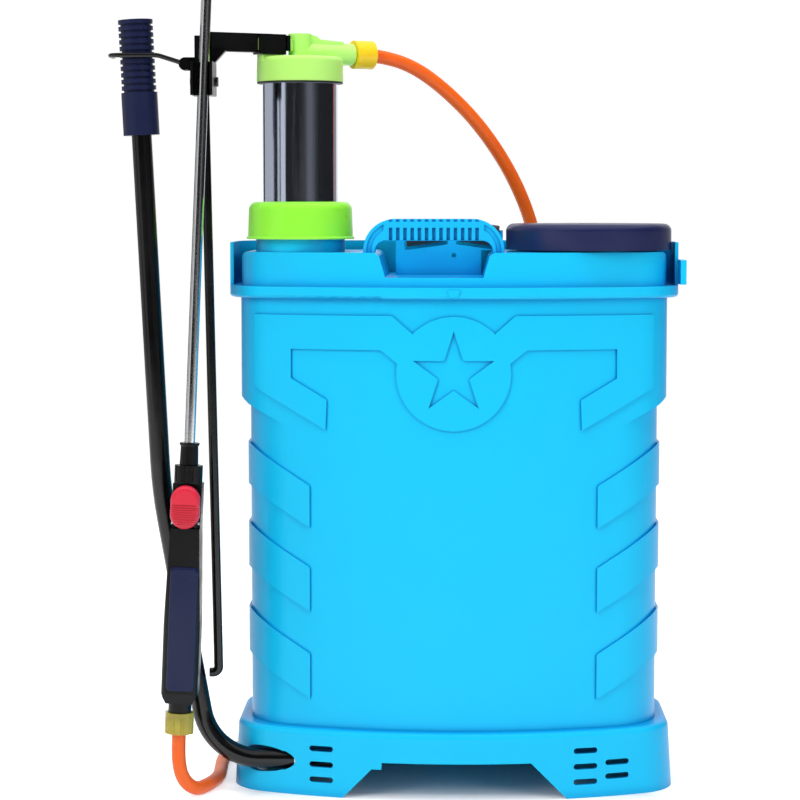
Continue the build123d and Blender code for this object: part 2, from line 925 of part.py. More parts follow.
with BuildPart() as piston_cup:
    turn(
        pump_plane,
        (piston_bore, piston_top),
        (cylinder_radius - seat_gap, piston_top),
        (cylinder_radius - seat_gap, piston_top + piston_height),
        (cylinder_radius - plunger_wall, piston_top + piston_height),
        (cylinder_radius - plunger_wall, piston_top + plunger_wall),
        (piston_bore, piston_top + plunger_wall),
    )

piston_cup.part.label = "piston_cup"
export_step(piston_cup.part, "parts/piston_cup.step")

with BuildPart() as cap_seal:
    ring(pump_plane, cap_radius, chamber_radius + fit_gap, cap_bottom - gasket_thickness, cap_bottom)

cap_seal.part.label = "cap_seal"
export_step(cap_seal.part, "parts/cap_seal.step")

cap_ceiling = chamber_top + seat_gap
outlet_plane = Plane(
    origin=(pump_x, pump_y, outlet_height), x_dir=(0, 0, 1), z_dir=head_plane.x_dir
)
stub_low = socket_low + (socket_height - stub_size) / 2
pad_centre = (socket_near + socket_far) / 2

with BuildPart() as chamber_cap:
    turn(
        head_plane,
        (0, cap_ceiling),
        (chamber_radius + fit_gap, cap_ceiling),
        (chamber_radius + fit_gap, cap_bottom),
        (cap_radius + slide_gap, cap_bottom),
        (cap_radius, cap_top),
        (0, cap_top),
    )
    fillet(chamber_cap.edges().filter_by(GeomType.CIRCLE).group_by(Axis.Z)[-1], cap_round)
    disc(head_plane, boss_radius, cap_ceiling, boss_top)
    turn(
        outlet_plane,
        (0, 0),
        (boss_radius, 0),
        (outlet_radius + outlet_swell, outlet_reach - nut_overlap - outlet_swell),
        (outlet_radius, outlet_reach - nut_overlap),
        (outlet_radius, outlet_reach),
        (0, outlet_reach),
    )
    # web along the top of the outlet
    with BuildSketch(Plane(origin=head_plane.origin, x_dir=head_plane.x_dir, z_dir=-head_plane.y_dir)):
        with BuildLine():
            Polyline(
                (0, outlet_height),
                (0, boss_top),
                (web_step, boss_top - gasket_thickness),
                (web_step + web_fall, web_height),
                (outlet_reach - hose_nut_length, web_height - gasket_thickness),
                (outlet_reach - hose_nut_length, outlet_height),
                close=True,
            )
        make_face()
    extrude(amount=web_thickness / 2, both=True)
    with BuildSketch(head_plane.offset(stub_low)):
        with Locations((-socket_far / 2, 0)):
            Rectangle(socket_far, stub_size)
    extrude(amount=stub_size)
    with BuildSketch(head_plane.offset(cap_ceiling)):
        with Locations((-pad_centre + 1, 0)):
            Rectangle(socket_far - socket_near - 4, stub_size)
    extrude(amount=socket_low - seat_gap - cap_ceiling)
    disc(head_plane, outlet_bore, cap_ceiling - cut_through, outlet_height, Mode.SUBTRACT)
    disc(outlet_plane, outlet_bore, 0, outlet_reach + cut_through, Mode.SUBTRACT)
    relief_plane = Plane(
        origin=head_plane.from_local_coords((relief_offset, 0, 0)), z_dir=(0, 0, 1)
    )
    disc(relief_plane, relief_radius + fit_gap, relief_low, boss_top + cut_through, Mode.SUBTRACT)

chamber_cap.part.label = "chamber_cap"
export_step(chamber_cap.part, "parts/chamber_cap.step")

with BuildPart() as relief_plug:
    disc(relief_plane, relief_radius, relief_low, boss_top + slide_gap)

relief_plug.part.label = "relief_plug"
export_step(relief_plug.part, "parts/relief_plug.step")


with BuildPart() as upper_hose_nut:
    nut_low = outlet_reach - nut_overlap
    turn(
        outlet_plane,
        (outlet_radius + fit_gap, nut_low),
        (hose_nut_radius, nut_low),
        (hose_nut_radius, nut_low + hose_nut_length),
        (hose_radius + seat_gap, nut_low + hose_nut_length),
        (hose_radius + seat_gap, nut_low + hose_nut_length - nut_wall),
        (outlet_radius + fit_gap, nut_low + hose_nut_length - nut_wall),
    )

upper_hose_nut.part.label = "upper_hose_nut"
export_step(upper_hose_nut.part, "parts/upper_hose_nut.step")

# ---------------------------------------------------------------------------
# Pump arm with the lance bracket, and the hook that parks the lever
# ---------------------------------------------------------------------------

bracket_x = link_top[0]
bracket_depth = bracket_back - bracket_face
channel_width = 2 * (link_rod_radius + slide_gap)
channel_front = axle_y - link_eye_radius - slide_gap
ear_y = axle_y - link_rod_radius

with BuildPart() as pump_arm:
    with BuildSketch(head_plane.offset(socket_low)):
        with Locations((-pad_centre, 0)):
            RectangleRounded(socket_far - socket_near, socket_width, fork_round)
    extrude(amount=socket_height)
    with BuildSketch(head_plane.offset(arm_low)):
        with Locations((-(arm_reach + pad_centre) / 2, 0)):
            Rectangle(arm_reach - pad_centre, arm_thickness)
    extrude(amount=arm_height)
    with BuildSketch(head_plane.offset(stub_low - seat_gap)):
        with Locations((-socket_far / 2, 0)):
            Rectangle(socket_far + 2 * seat_gap, stub_size + 2 * seat_gap)
    extrude(amount=stub_size + 2 * seat_gap, mode=Mode.SUBTRACT)
    # upper half of the bracket, and its wider lower half
    with BuildSketch(Plane.XY.offset(bracket_bottom)):
        with Locations((bracket_x, bracket_face)):
            Rectangle(bracket_width, bracket_depth, align=(Align.CENTER, Align.MIN))
    extrude(amount=bracket_step - bracket_bottom)
    with BuildSketch(Plane.XY.offset(bracket_step)):
        with Locations((bracket_x, bracket_face)):
            Rectangle(bracket_neck, bracket_depth, align=(Align.CENTER, Align.MIN))
    extrude(amount=bracket_top - bracket_step)
    # gusset under the arm
    with BuildSketch(front_plane(axle_y)):
        with BuildLine():
            Polyline(
                (bracket_x, bracket_step),
                (bracket_x + bracket_width / 2, bracket_step),
                (bracket_x + bracket_width, arm_low),
                (bracket_x, arm_low),
                close=True,
            )
        make_face()
    extrude(amount=arm_thickness / 2, both=True)
    # two prongs that the lance lies between
    with BuildSketch(Plane.XY.offset(bracket_bottom)):
        for side in (-1, 1):
            with Locations((bracket_x + side * (bracket_width - bracket_wall) / 2, bracket_face)):
                Rectangle(bracket_wall, fork_reach, align=(Align.CENTER, Align.MAX))
    extrude(amount=bracket_step - bracket_bottom)
    # channel for the link rod, open below and behind
    with BuildSketch(Plane.XY.offset(bracket_bottom)):
        with Locations((bracket_x, channel_front)):
            Rectangle(channel_width, bracket_depth, align=(Align.CENTER, Align.MIN))
    extrude(amount=link_top[1] + link_eye_radius + slide_gap - bracket_bottom, mode=Mode.SUBTRACT)
    rod(
        (bracket_x - bracket_width, axle_y, link_top[1]),
        (bracket_x + bracket_width, axle_y, link_top[1]),
        link_pin_radius + fit_gap,
        Mode.SUBTRACT,
    )
    # ear for the parking hook
    with BuildSketch(front_plane(ear_y)):
        with Locations(hook_pivot):
            Circle(hook_eye_radius)
            Rectangle(bracket_width / 2, 2 * hook_eye_radius, align=(Align.MIN, Align.CENTER))
        with Locations(hook_pivot):
            Circle(hook_pin_radius + fit_gap, mode=Mode.SUBTRACT)
    extrude(amount=ear_thickness)

pump_arm.part.label = "pump_arm"
export_step(pump_arm.part, "parts/pump_arm.step")

with BuildPart() as arm_clip:
    with BuildSketch(head_plane.offset(stub_low - seat_gap)):
        with Locations((-socket_near + clip_thickness / 2 + seat_gap, 0)):
            Rectangle(clip_thickness, socket_width)
    extrude(amount=stub_size + clip_thickness)
    with BuildSketch(head_plane.offset(stub_low - cut_through)):
        with Locations((-socket_near, 0)):
            Rectangle(4 * clip_thickness, stub_size + 2 * fit_gap)
    extrude(amount=stub_size + cut_through + fit_gap, mode=Mode.SUBTRACT)

arm_clip.part.label = "arm_clip"
export_step(arm_clip.part, "parts/arm_clip.step")

with BuildPart() as link_pin:
    reach = bracket_width / 2 + seat_gap
    rod((bracket_x - reach, axle_y, link_top[1]), (bracket_x + reach, axle_y, link_top[1]), link_pin_radius)
    for side in (-1, 1):
        rod(
            (bracket_x + side * reach, axle_y, link_top[1]),
            (bracket_x + side * (reach + bracket_wall), axle_y, link_top[1]),
            link_pin_radius + bush_wall,
        )

link_pin.part.label = "link_pin"
export_step(link_pin.part, "parts/link_pin.step")

hook_y = ear_y - ear_thickness - seat_gap - hook_wire_radius
hook_plane = Plane(origin=(hook_pivot[0], hook_y, hook_pivot[1]), x_dir=(1, 0, 0), z_dir=(0, -1, 0))

with BuildPart() as hook_pin:
    disc(hook_plane, hook_pin_radius, -ear_thickness - 2 * hook_wire_radius, hook_wire_radius + seat_gap)
    disc(hook_plane, 2 * hook_pin_radius, hook_wire_radius + seat_gap, 2 * hook_wire_radius)

hook_pin.part.label = "hook_pin"
export_step(hook_pin.part, "parts/hook_pin.step")

grip_at_hook = Vector(hook_catch[0], axle_y, hook_catch[1])
hook_front = axle_y - lever_sleeve_radius - hook_wire_radius - slide_gap
hook_left = grip_at_hook.X - lever_sleeve_radius - 3 * hook_wire_radius

with BuildPart() as lever_hook:
    ring(
        hook_plane,
        hook_eye_radius - pin_gap,
        hook_pin_radius + pin_gap,
        -hook_wire_radius,
        hook_wire_radius,
    )
    with BuildLine() as hook_path:
        FilletPolyline(
            (
                hook_pivot[0] - hook_eye_radius + hook_wire_radius,
                hook_y,
                hook_pivot[1] + hook_wire_radius / 2,
            ),
            (hook_pivot[0] - 4 * hook_eye_radius, hook_front, grip_at_hook.Z),
            (hook_left, hook_front, grip_at_hook.Z),
            (hook_left, axle_y + hook_eye_radius, grip_at_hook.Z),
            radius=hook_bends,
        )
    with BuildSketch(Plane(origin=hook_path.line @ 0, z_dir=hook_path.line % 0)):
        Circle(hook_wire_radius)
    sweep()

lever_hook.part.label = "lever_hook"
export_step(lever_hook.part, "parts/lever_hook.step")

# ---------------------------------------------------------------------------
# Lever and link rod
# ---------------------------------------------------------------------------

knee_x, knee_z = lever_knee
top_x, top_z = lever_top
crank_z = axle_z + crank_radius
lever_lean = (lever_heel_x - knee_x) / (knee_z - axle_z)
crank_x = lever_heel_x - lever_lean * crank_radius
sleeve_run = Vector(knee_x - top_x, 0, knee_z - top_z).normalized()

with BuildPart() as lever_tube:
    with BuildLine() as lever_path:
        FilletPolyline(
            (top_x + sleeve_run.X * cap_overlap, axle_y, top_z + sleeve_run.Z * cap_overlap),
            (knee_x, axle_y, knee_z),
            (lever_heel_x, axle_y, axle_z),
            (axle_end, axle_y, axle_z),
            radius=(lever_knee_radius, lever_bend),
        )
    with BuildSketch(Plane(origin=lever_path.line @ 0, z_dir=lever_path.line % 0)):
        Circle(lever_tube_radius)
        Circle(lever_tube_radius - lever_tube_wall, mode=Mode.SUBTRACT)
    sweep()

lever_tube.part.label = "lever_tube"
export_step(lever_tube.part, "parts/lever_tube.step")

grip_plane = Plane(origin=(top_x, axle_y, top_z), x_dir=(0, 1, 0), z_dir=sleeve_run)
rib_pitch = (lever_grip_length - lever_sleeve_length) / lever_ribs

with BuildPart() as lever_grip:
    disc(grip_plane, lever_grip_radius - rib_depth, 0, lever_grip_length - lever_sleeve_length)
    for rib in range(lever_ribs):
        ring(
            grip_plane,
            lever_grip_radius,
            lever_tube_radius + fit_gap,
            rib * rib_pitch,
            rib * rib_pitch + rib_pitch * rib_share,
        )
    ring(
        grip_plane,
        lever_sleeve_radius,
        lever_tube_radius + fit_gap,
        lever_grip_length - lever_sleeve_length,
        lever_grip_length,
    )
    disc(grip_plane, lever_tube_radius + fit_gap, cap_overlap - fit_gap, lever_grip_length, Mode.SUBTRACT)

lever_grip.part.label = "lever_grip"
export_step(lever_grip.part, "parts/lever_grip.step")

axle_plane = Plane(
    origin=(axle_rib_x[1] + axle_rib_thickness / 2, axle_y, axle_z),
    x_dir=(0, 1, 0),
    z_dir=(1, 0, 0),
)
with BuildPart() as axle_washer:
    ring(axle_plane, axle_washer_radius, lever_tube_radius + fit_gap, seat_gap, seat_gap + bush_wall)

axle_washer.part.label = "axle_washer"
export_step(axle_washer.part, "parts/axle_washer.step")

with BuildPart() as axle_split_pin:
    pin_x = axle_rib_x[1] + axle_rib_thickness / 2 + 2 * seat_gap + bush_wall + split_pin_radius
    rod(
        (pin_x, axle_y, axle_z + lever_tube_radius + fit_gap),
        (pin_x, axle_y, axle_z + lever_tube_radius + 3 * split_pin_radius),
        split_pin_radius,
    )
    rod(
        (pin_x, axle_y, axle_z - lever_tube_radius - 4 * split_pin_radius),
        (pin_x, axle_y, axle_z - lever_tube_radius - fit_gap),
        split_pin_radius,
    )

axle_split_pin.part.label = "axle_split_pin"
export_step(axle_split_pin.part, "parts/axle_split_pin.step")

link_foot = (link_bottom_x, axle_y, crank_z)
hook_end = crank_x + lever_tube_radius * 1.1 + link_hook_gap
with BuildPart() as link_rod:
    with BuildLine() as link_path:
        FilletPolyline(
            (bracket_x, axle_y, link_top[1] - link_eye_radius + cut_through),
            link_foot,
            (hook_end, axle_y, crank_z),
            radius=link_bend,
        )
    with BuildSketch(Plane(origin=link_path.line @ 0, z_dir=link_path.line % 0)):
        Circle(link_rod_radius)
    sweep()
    eye_plane = Plane(origin=(bracket_x, axle_y, link_top[1]), x_dir=(0, 1, 0), z_dir=(1, 0, 0))
    disc(eye_plane, link_eye_radius, -link_rod_radius, link_rod_radius)
    disc(eye_plane, link_pin_radius + pin_gap, -2 * link_rod_radius, 2 * link_rod_radius, Mode.SUBTRACT)

link_rod.part.label = "link_rod"
export_step(link_rod.part, "parts/link_rod.step")

# ---------------------------------------------------------------------------
# Lance with its valve handle
# ---------------------------------------------------------------------------


def lance_part(height):
    """Plane across the lance at this distance above its foot."""
    return lance_plane.offset(height)


valve_body_low = hose_nut_length + valve_neck_length
panel_plane = Plane(
    origin=lance_plane.from_local_coords((panel_offset, -panel_seat, panel_centre)),
    x_dir=lance_plane.x_dir,
    z_dir=-lance_plane.y_dir,
)
button_plane = Plane(
    origin=lance_plane.from_local_coords((0, -button_seat, (button_bottom + button_top) / 2)),
    x_dir=lance_plane.x_dir,
    z_dir=-lance_plane.y_dir,
)
gland_low = valve_body_top + seat_gap
gland_high = gland_low + gland_length
socket_high = gland_high + socket_length

with BuildPart() as handle_body:
    with BuildSketch(lance_part(valve_body_low)):
        RectangleRounded(valve_belly_width, valve_belly_depth, valve_corner)
    extrude(amount=valve_body_top - valve_body_low)
    # the body narrows towards both ends, seen from the front and from the side
    front_view = Plane(origin=lance_plane.origin, x_dir=lance_plane.x_dir, z_dir=-lance_plane.y_dir)
    side_view = Plane(origin=lance_plane.origin, x_dir=lance_plane.y_dir, z_dir=lance_plane.x_dir)
    for view, belly, end_share in (
        (front_view, valve_belly_width, valve_body_width / valve_belly_width),
        (side_view, valve_belly_depth, valve_body_depth / valve_belly_depth),
    ):
        half = belly / 2
        with BuildSketch(view):
            with BuildLine():
                Polyline(
                    (-half * valve_foot_share, valve_body_low),
                    (-half, valve_body_low + valve_foot_height),
                    (-half, panel_centre),
                    (-half * end_share, button_bottom),
                    (-half * end_share, valve_body_top),
                    (half * end_share, valve_body_top),
                    (half * end_share, button_bottom),
                    (half, panel_centre),
                    (half, valve_body_low + valve_foot_height),
                    (half * valve_foot_share, valve_body_low),
                    close=True,
                )
            make_face()
        extrude(amount=valve_body_top, both=True, mode=Mode.INTERSECT)
    disc(lance_plane, valve_neck_radius, hose_nut_length - nut_overlap, valve_body_low)
    # the front steps back under the trigger
    with BuildSketch(lance_part(button_bottom - slide_gap)):
        with Locations((0, -valve_body_depth)):
            Rectangle(2 * valve_body_width, 2 * (valve_body_depth - trigger_face))
    extrude(amount=valve_body_top, mode=Mode.SUBTRACT)
    with BuildSketch(panel_plane):
        RectangleRounded(panel_width + 2 * fit_gap, panel_length + 2 * fit_gap, panel_round)
    extrude(amount=valve_body_depth, mode=Mode.SUBTRACT)
    # trigger cheeks and pivot hole, valve bore, and the water way
    for side in (-1, 1):
        cheek_plane = Plane(
            origin=lance_plane.from_local_coords((side * cheek_x, 0, 0)),
            x_dir=lance_plane.y_dir,
            z_dir=lance_plane.x_dir,
        )
        with BuildSketch(cheek_plane):
            with Locations((pivot_y, pivot_height)):
                Rectangle(cheek_height, cheek_height)
        extrude(amount=cheek_thickness / 2, both=True)
    rod(
        lance_plane.from_local_coords((-valve_body_width, pivot_y, pivot_height)),
        lance_plane.from_local_coords((valve_body_width, pivot_y, pivot_height)),
        pivot_radius,
        Mode.SUBTRACT,
    )
    valve_plane = Plane(
        origin=lance_plane.from_local_coords((0, 0, stem_height)),
        x_dir=lance_plane.x_dir,
        z_dir=-lance_plane.y_dir,
    )
    disc(valve_plane, spring_bore, 0, valve_body_depth, Mode.SUBTRACT)
    disc(lance_plane, outlet_bore, 0, stem_height, Mode.SUBTRACT)
    disc(lance_plane, outlet_bore, stem_height, valve_body_top + cut_through, Mode.SUBTRACT)

handle_body.part.label = "handle_body"
export_step(handle_body.part, "parts/handle_body.step")

with BuildPart() as grip_panel:
    with BuildSketch(panel_plane):
        RectangleRounded(panel_width, panel_length, panel_round)
    extrude(amount=panel_thickness)
    fillet(grip_panel.faces().sort_by(Axis(panel_plane.origin, panel_plane.z_dir))[-1].edges(), fork_round)

grip_panel.part.label = "grip_panel"
export_step(grip_panel.part, "parts/grip_panel.step")

with BuildPart() as trigger_button:
    with BuildSketch(button_plane):
        SlotOverall(button_top - button_bottom, button_width, rotation=90)
    extrude(amount=button_thickness)
    button_face = trigger_button.faces().sort_by(Axis(button_plane.origin, button_plane.z_dir))[-1]
    fillet(button_face.edges(), panel_round)
    with BuildSketch(button_plane.offset(button_thickness - button_rib_depth)):
        for rib in range(button_ribs):
            with Locations((0, -rib * button_rib_pitch + button_rib_pitch)):
                Rectangle(button_width, button_rib_pitch / 2)
    extrude(amount=button_rib_depth + cut_through, mode=Mode.SUBTRACT)
    lug_plane = Plane(
        origin=lance_plane.from_local_coords((0, 0, 0)), x_dir=lance_plane.y_dir, z_dir=lance_plane.x_dir
    )
    with BuildSketch(lug_plane):
        with Locations((pivot_y, pivot_height)):
            Circle(2 * pivot_radius)
            Rectangle(2 * cheek_thickness, 4 * pivot_radius, align=(Align.MAX, Align.CENTER))
    extrude(amount=lug_thickness / 2, both=True)
    rod(
        lance_plane.from_local_coords((-lug_thickness, pivot_y, pivot_height)),
        lance_plane.from_local_coords((lug_thickness, pivot_y, pivot_height)),
        pivot_radius + pin_gap,
        Mode.SUBTRACT,
    )

trigger_button.part.label = "trigger_button"
export_step(trigger_button.part, "parts/trigger_button.step")

with BuildPart() as trigger_pin:
    rod(
        lance_plane.from_local_coords((-cheek_x - cheek_thickness, pivot_y, pivot_height)),
        lance_plane.from_local_coords((cheek_x + cheek_thickness, pivot_y, pivot_height)),
        pivot_radius - fit_gap,
    )

trigger_pin.part.label = "trigger_pin"
export_step(trigger_pin.part, "parts/trigger_pin.step")

stem_head = button_seat - seat_gap
stem_low = stem_travel + slide_gap
with BuildPart() as valve_stem:
    disc(valve_plane, stem_radius - slide_gap, stem_low, stem_head)
    disc(valve_plane, spring_bore - slide_gap, stem_head - gasket_thickness, stem_head)

valve_stem.part.label = "valve_stem"
export_step(valve_stem.part, "parts/valve_stem.step")

spring_height = stem_head - gasket_thickness - stem_low - 2 * spring_wire - 2 * fit_gap
with BuildPart() as trigger_spring:
    with BuildLine() as coil:
        Helix(
            pitch=spring_height / spring_turns,
            height=spring_height,
            radius=spring_radius,
            center=valve_plane.from_local_coords((0, 0, stem_low + spring_wire)),
            direction=valve_plane.z_dir,
        )
    with BuildSketch(Plane(origin=coil.line @ 0, z_dir=coil.line % 0)):
        Circle(spring_wire)
    sweep(is_frenet=True)

trigger_spring.part.label = "trigger_spring"
export_step(trigger_spring.part, "parts/trigger_spring.step")

with BuildPart() as gland_nut:
    ring(lance_plane, gland_radius, lance_tube_radius + fit_gap, gland_low, gland_high)
    with BuildSketch(lance_part(gland_low + gasket_thickness)):
        with PolarLocations(gland_radius + slide_gap, gland_flutes):
            Circle(gasket_thickness)
    extrude(amount=gland_length, mode=Mode.SUBTRACT)

gland_nut.part.label = "gland_nut"
export_step(gland_nut.part, "parts/gland_nut.step")

with BuildPart() as lance_socket:
    turn(
        lance_plane,
        (lance_tube_radius + fit_gap, gland_high),
        (socket_radius, gland_high),
        (socket_radius - slide_gap, socket_high - 2 * gasket_thickness),
        (socket_radius + slide_gap, socket_high - gasket_thickness),
        (socket_radius + slide_gap, socket_high),
        (lance_tube_radius + fit_gap, socket_high),
    )

lance_socket.part.label = "lance_socket"
export_step(lance_socket.part, "parts/lance_socket.step")

with BuildPart() as lance_tube:
    ring(lance_plane, lance_tube_radius, lance_tube_radius - lance_wall, gland_low, lance_end)

lance_tube.part.label = "lance_tube"
export_step(lance_tube.part, "parts/lance_tube.step")

nozzle_low = lance_end - nozzle_socket
nozzle_face = lance_end + nozzle_length / 2
cap_low = lance_end - nozzle_socket / 3
with BuildPart() as nozzle_body:
    turn(
        lance_plane,
        (lance_tube_radius + fit_gap, nozzle_low),
        (nozzle_radius, nozzle_low),
        (nozzle_radius, cap_low - seat_gap),
        (nozzle_radius - tank_wall / 2, cap_low - seat_gap),
        (nozzle_radius - tank_wall / 2, nozzle_face),
        (nozzle_radius / 2, nozzle_face),
        (nozzle_radius / 2, lance_end + fit_gap),
        (lance_tube_radius + fit_gap, lance_end + fit_gap),
    )

nozzle_body.part.label = "nozzle_body"
export_step(nozzle_body.part, "parts/nozzle_body.step")

with BuildPart() as swirl_core:
    disc(lance_plane, nozzle_radius / 2 - seat_gap, lance_end + 1, nozzle_face - 1)
    disc(lance_plane, nozzle_radius / 2 + 1, nozzle_face + fit_gap, nozzle_face + 1)

swirl_core.part.label = "swirl_core"
export_step(swirl_core.part, "parts/swirl_core.step")

with BuildPart() as nozzle_cap:
    turn(
        lance_plane,
        (nozzle_radius - tank_wall / 2 + seat_gap, cap_low),
        (nozzle_cap_radius, cap_low),
        (nozzle_cap_radius, nozzle_face + 2),
        (nozzle_cap_radius / 2, nozzle_face + 4),
        (nozzle_hole, nozzle_face + 4),
        (nozzle_hole, nozzle_face + 1 + seat_gap),
        (nozzle_radius - tank_wall / 2 + seat_gap, nozzle_face + 1 + seat_gap),
    )
    with BuildSketch(lance_part(cap_low - cut_through)):
        with PolarLocations(nozzle_cap_radius + slide_gap, gland_flutes):
            Circle(gasket_thickness)
    extrude(amount=nozzle_face - cap_low, mode=Mode.SUBTRACT)

nozzle_cap.part.label = "nozzle_cap"
export_step(nozzle_cap.part, "parts/nozzle_cap.step")

with BuildPart() as lower_hose_nut:
    turn(
        lance_plane,
        (valve_neck_radius + fit_gap, hose_nut_length),
        (hose_nut_radius, hose_nut_length),
        (hose_nut_radius, 0),
        (hose_radius + seat_gap, 0),
        (hose_radius + seat_gap, nut_wall),
        (valve_neck_radius + fit_gap, nut_wall),
    )
    with BuildSketch(lance_part(-cut_through)):
        with PolarLocations(hose_nut_radius + slide_gap, gland_flutes):
            Circle(gasket_thickness)
    extrude(amount=hose_nut_length - nut_wall, mode=Mode.SUBTRACT)

lower_hose_nut.part.label = "lower_hose_nut"
export_step(lower_hose_nut.part, "parts/lower_hose_nut.step")

# ---------------------------------------------------------------------------
# Carry handle and strap plate
# ---------------------------------------------------------------------------

grip_low = handle_top - grip_height
handle_middle = (handle_left + handle_right) / 2


def arch(left, right, low, high, bend):
    """Front view of an arch with two rounded upper corners."""
    with BuildSketch(front_plane(handle_y)) as view:
        with BuildLine():
            Polyline((left, low), (left, high), (right, high), (right, low), close=True)
        make_face()
        fillet(view.vertices().group_by(Axis.Y)[-1], bend)
    return view.sketch


with BuildPart() as carry_handle:
    extrude(
        arch(handle_left, handle_right, shoulder_top, handle_top, handle_bend - handle_leg / 2),
        amount=handle_depth / 2,
        both=True,
    )
    extrude(
        arch(
            handle_left + handle_leg,
            handle_right - handle_leg,
            shoulder_top - cut_through,
            grip_low,
            grip_height / 2,
        ),
        amount=handle_depth,
        both=True,
        mode=Mode.SUBTRACT,
    )
    fillet(carry_handle.edges().filter_by(GeomType.CIRCLE), handle_edge)
    # finger ribs: rows of pockets in the front and back of the grip
    for face, direction in ((handle_y - handle_depth / 2, -1), (handle_y + handle_depth / 2, 1)):
        with BuildSketch(front_plane(face)):
            with Locations((handle_middle, grip_low + rib_pocket_height / 2 + slide_gap)):
                with GridLocations(grip_rib_pitch, 1, grip_ribs, 1):
                    Rectangle(grip_rib_pitch / 2, rib_pocket_height)
        extrude(amount=direction * rib_pocket_depth, mode=Mode.SUBTRACT)
        with BuildSketch(front_plane(face)):
            with Locations((handle_middle, handle_top)):
                with GridLocations(grip_rib_pitch, 1, grip_ribs, 1):
                    Rectangle(grip_rib_pitch / 2, 2 * top_notch_height)
        extrude(amount=direction * rib_pocket_depth, mode=Mode.SUBTRACT)
    # a channel down the front of each leg
    groove_edge = (handle_leg - groove_width) / 2
    groove_low = shoulder_top
    groove = []
    for inset in (groove_edge, groove_edge + groove_width):
        bend = handle_bend - handle_leg / 2 - inset
        groove.append(
            arch(handle_left + inset, handle_right - inset, groove_low, handle_top - inset, bend)
        )
    with BuildPart(mode=Mode.PRIVATE) as channel:
        extrude(groove[0], amount=handle_depth / 2)
        extrude(groove[1], amount=handle_depth, both=True, mode=Mode.SUBTRACT)
        with BuildSketch(front_plane(handle_y - handle_depth)):
            with Locations((handle_middle, handle_top)):
                Rectangle(grip_rib_pitch * (grip_ribs + 1), 2 * handle_leg)
        extrude(amount=-2 * handle_depth, mode=Mode.SUBTRACT)
        with BuildSketch(front_plane(handle_y - handle_depth / 2 + groove_depth)):
            with Locations((handle_middle, handle_top)):
                Rectangle(handle_right - handle_left, 4 * handle_top)
        extrude(amount=-handle_depth, mode=Mode.SUBTRACT)
    add(channel.part, mode=Mode.SUBTRACT)

carry_handle.part.label = "carry_handle"
export_step(carry_handle.part, "parts/carry_handle.step")

with BuildPart() as strap_plate:
    with BuildSketch(front_plane(plate_y)) as plate_view:
        plate_step = shoulder_top + slide_gap
        for left, right, low, high in (
            (plate_foot_left, plate_foot_right, notch_floor, plate_step),
            (plate_left, plate_right, plate_step, plate_top),
        ):
            with Locations(((left + right) / 2, (low + high) / 2)):
                Rectangle(right - left, high - low)
        for x, tilt in ((strap_left_x, strap_slant), (strap_right_x, -strap_slant)):
            with Locations((x, strap_slot_z)):
                Rectangle(strap_width + 4, strap_slot_height, rotation=tilt, mode=Mode.SUBTRACT)
        with Locations((0, shoulder_top - 4)):
            Circle(2, mode=Mode.SUBTRACT)
    extrude(amount=plate_thickness / 2, both=True)

strap_plate.part.label = "strap_plate"
export_step(strap_plate.part, "parts/strap_plate.step")

# ---------------------------------------------------------------------------
# Filler: lid, gasket, vent and strainer basket
# ---------------------------------------------------------------------------

basket_flange = filler_top + 1
gasket_face = basket_flange + gasket_thickness
with BuildPart() as strainer_basket:
    basket_low = filler_top - basket_depth
    turn(
        lid_plane,
        (basket_radius - gasket_thickness, basket_flange),
        (filler_radius, basket_flange),
        (filler_radius, filler_top),
        (basket_radius, filler_top),
        (basket_radius - gasket_thickness, basket_low),
        (0, basket_low),
        (0, basket_low + gasket_thickness),
        (basket_radius - 2 * gasket_thickness, basket_low + gasket_thickness),
    )
    for row in range(basket_rows):
        with BuildSketch(lid_plane.offset(basket_low + basket_pitch * (row + 0.5))):
            with PolarLocations(basket_radius, basket_slots):
                Rectangle(4 * tank_wall, 2 * tank_wall)
        extrude(amount=basket_pitch - 2 * tank_wall, mode=Mode.SUBTRACT)

strainer_basket.part.label = "strainer_basket"
export_step(strainer_basket.part, "parts/strainer_basket.step")

with BuildPart() as lid_gasket:
    ring(lid_plane, filler_radius, filler_bore, basket_flange, gasket_face)

lid_gasket.part.label = "lid_gasket"
export_step(lid_gasket.part, "parts/lid_gasket.step")

with BuildPart() as filler_lid:
    disc(lid_plane, lid_radius, lid_bottom, lid_top)
    fillet(filler_lid.edges().filter_by(GeomType.CIRCLE).group_by(Axis.Z)[-1], lid_round)
    thread_radius = filler_radius + slide_gap
    disc(lid_plane, thread_radius, lid_bottom - cut_through, gasket_face + seat_gap, Mode.SUBTRACT)
    ring(
        lid_plane,
        lid_radius - lid_wall,
        thread_radius + lid_wall,
        lid_bottom - cut_through,
        gasket_face,
        Mode.SUBTRACT,
    )
    disc(lid_plane, vent_radius + fit_gap, gasket_face, lid_top + cut_through, Mode.SUBTRACT)
    disc(lid_plane, 3 * vent_radius, lid_top - gasket_thickness, lid_top + cut_through, Mode.SUBTRACT)
    with BuildSketch(lid_plane.offset(lid_bottom)):
        with PolarLocations(lid_radius + slide_gap, lid_facets):
            Rectangle(2 * slide_gap, gasket_thickness)
    extrude(amount=lid_top - lid_bottom - lid_round, mode=Mode.SUBTRACT)

filler_lid.part.label = "filler_lid"
export_step(filler_lid.part, "parts/filler_lid.step")

with BuildPart() as lid_vent:
    disc(lid_plane, vent_radius, gasket_face + slide_gap, lid_top - gasket_thickness)
    disc(lid_plane, 2 * vent_radius, lid_top - gasket_thickness, lid_top)

lid_vent.part.label = "lid_vent"
export_step(lid_vent.part, "parts/lid_vent.step")

# ---------------------------------------------------------------------------
# Shoulder straps, hanging behind the tank
# ---------------------------------------------------------------------------

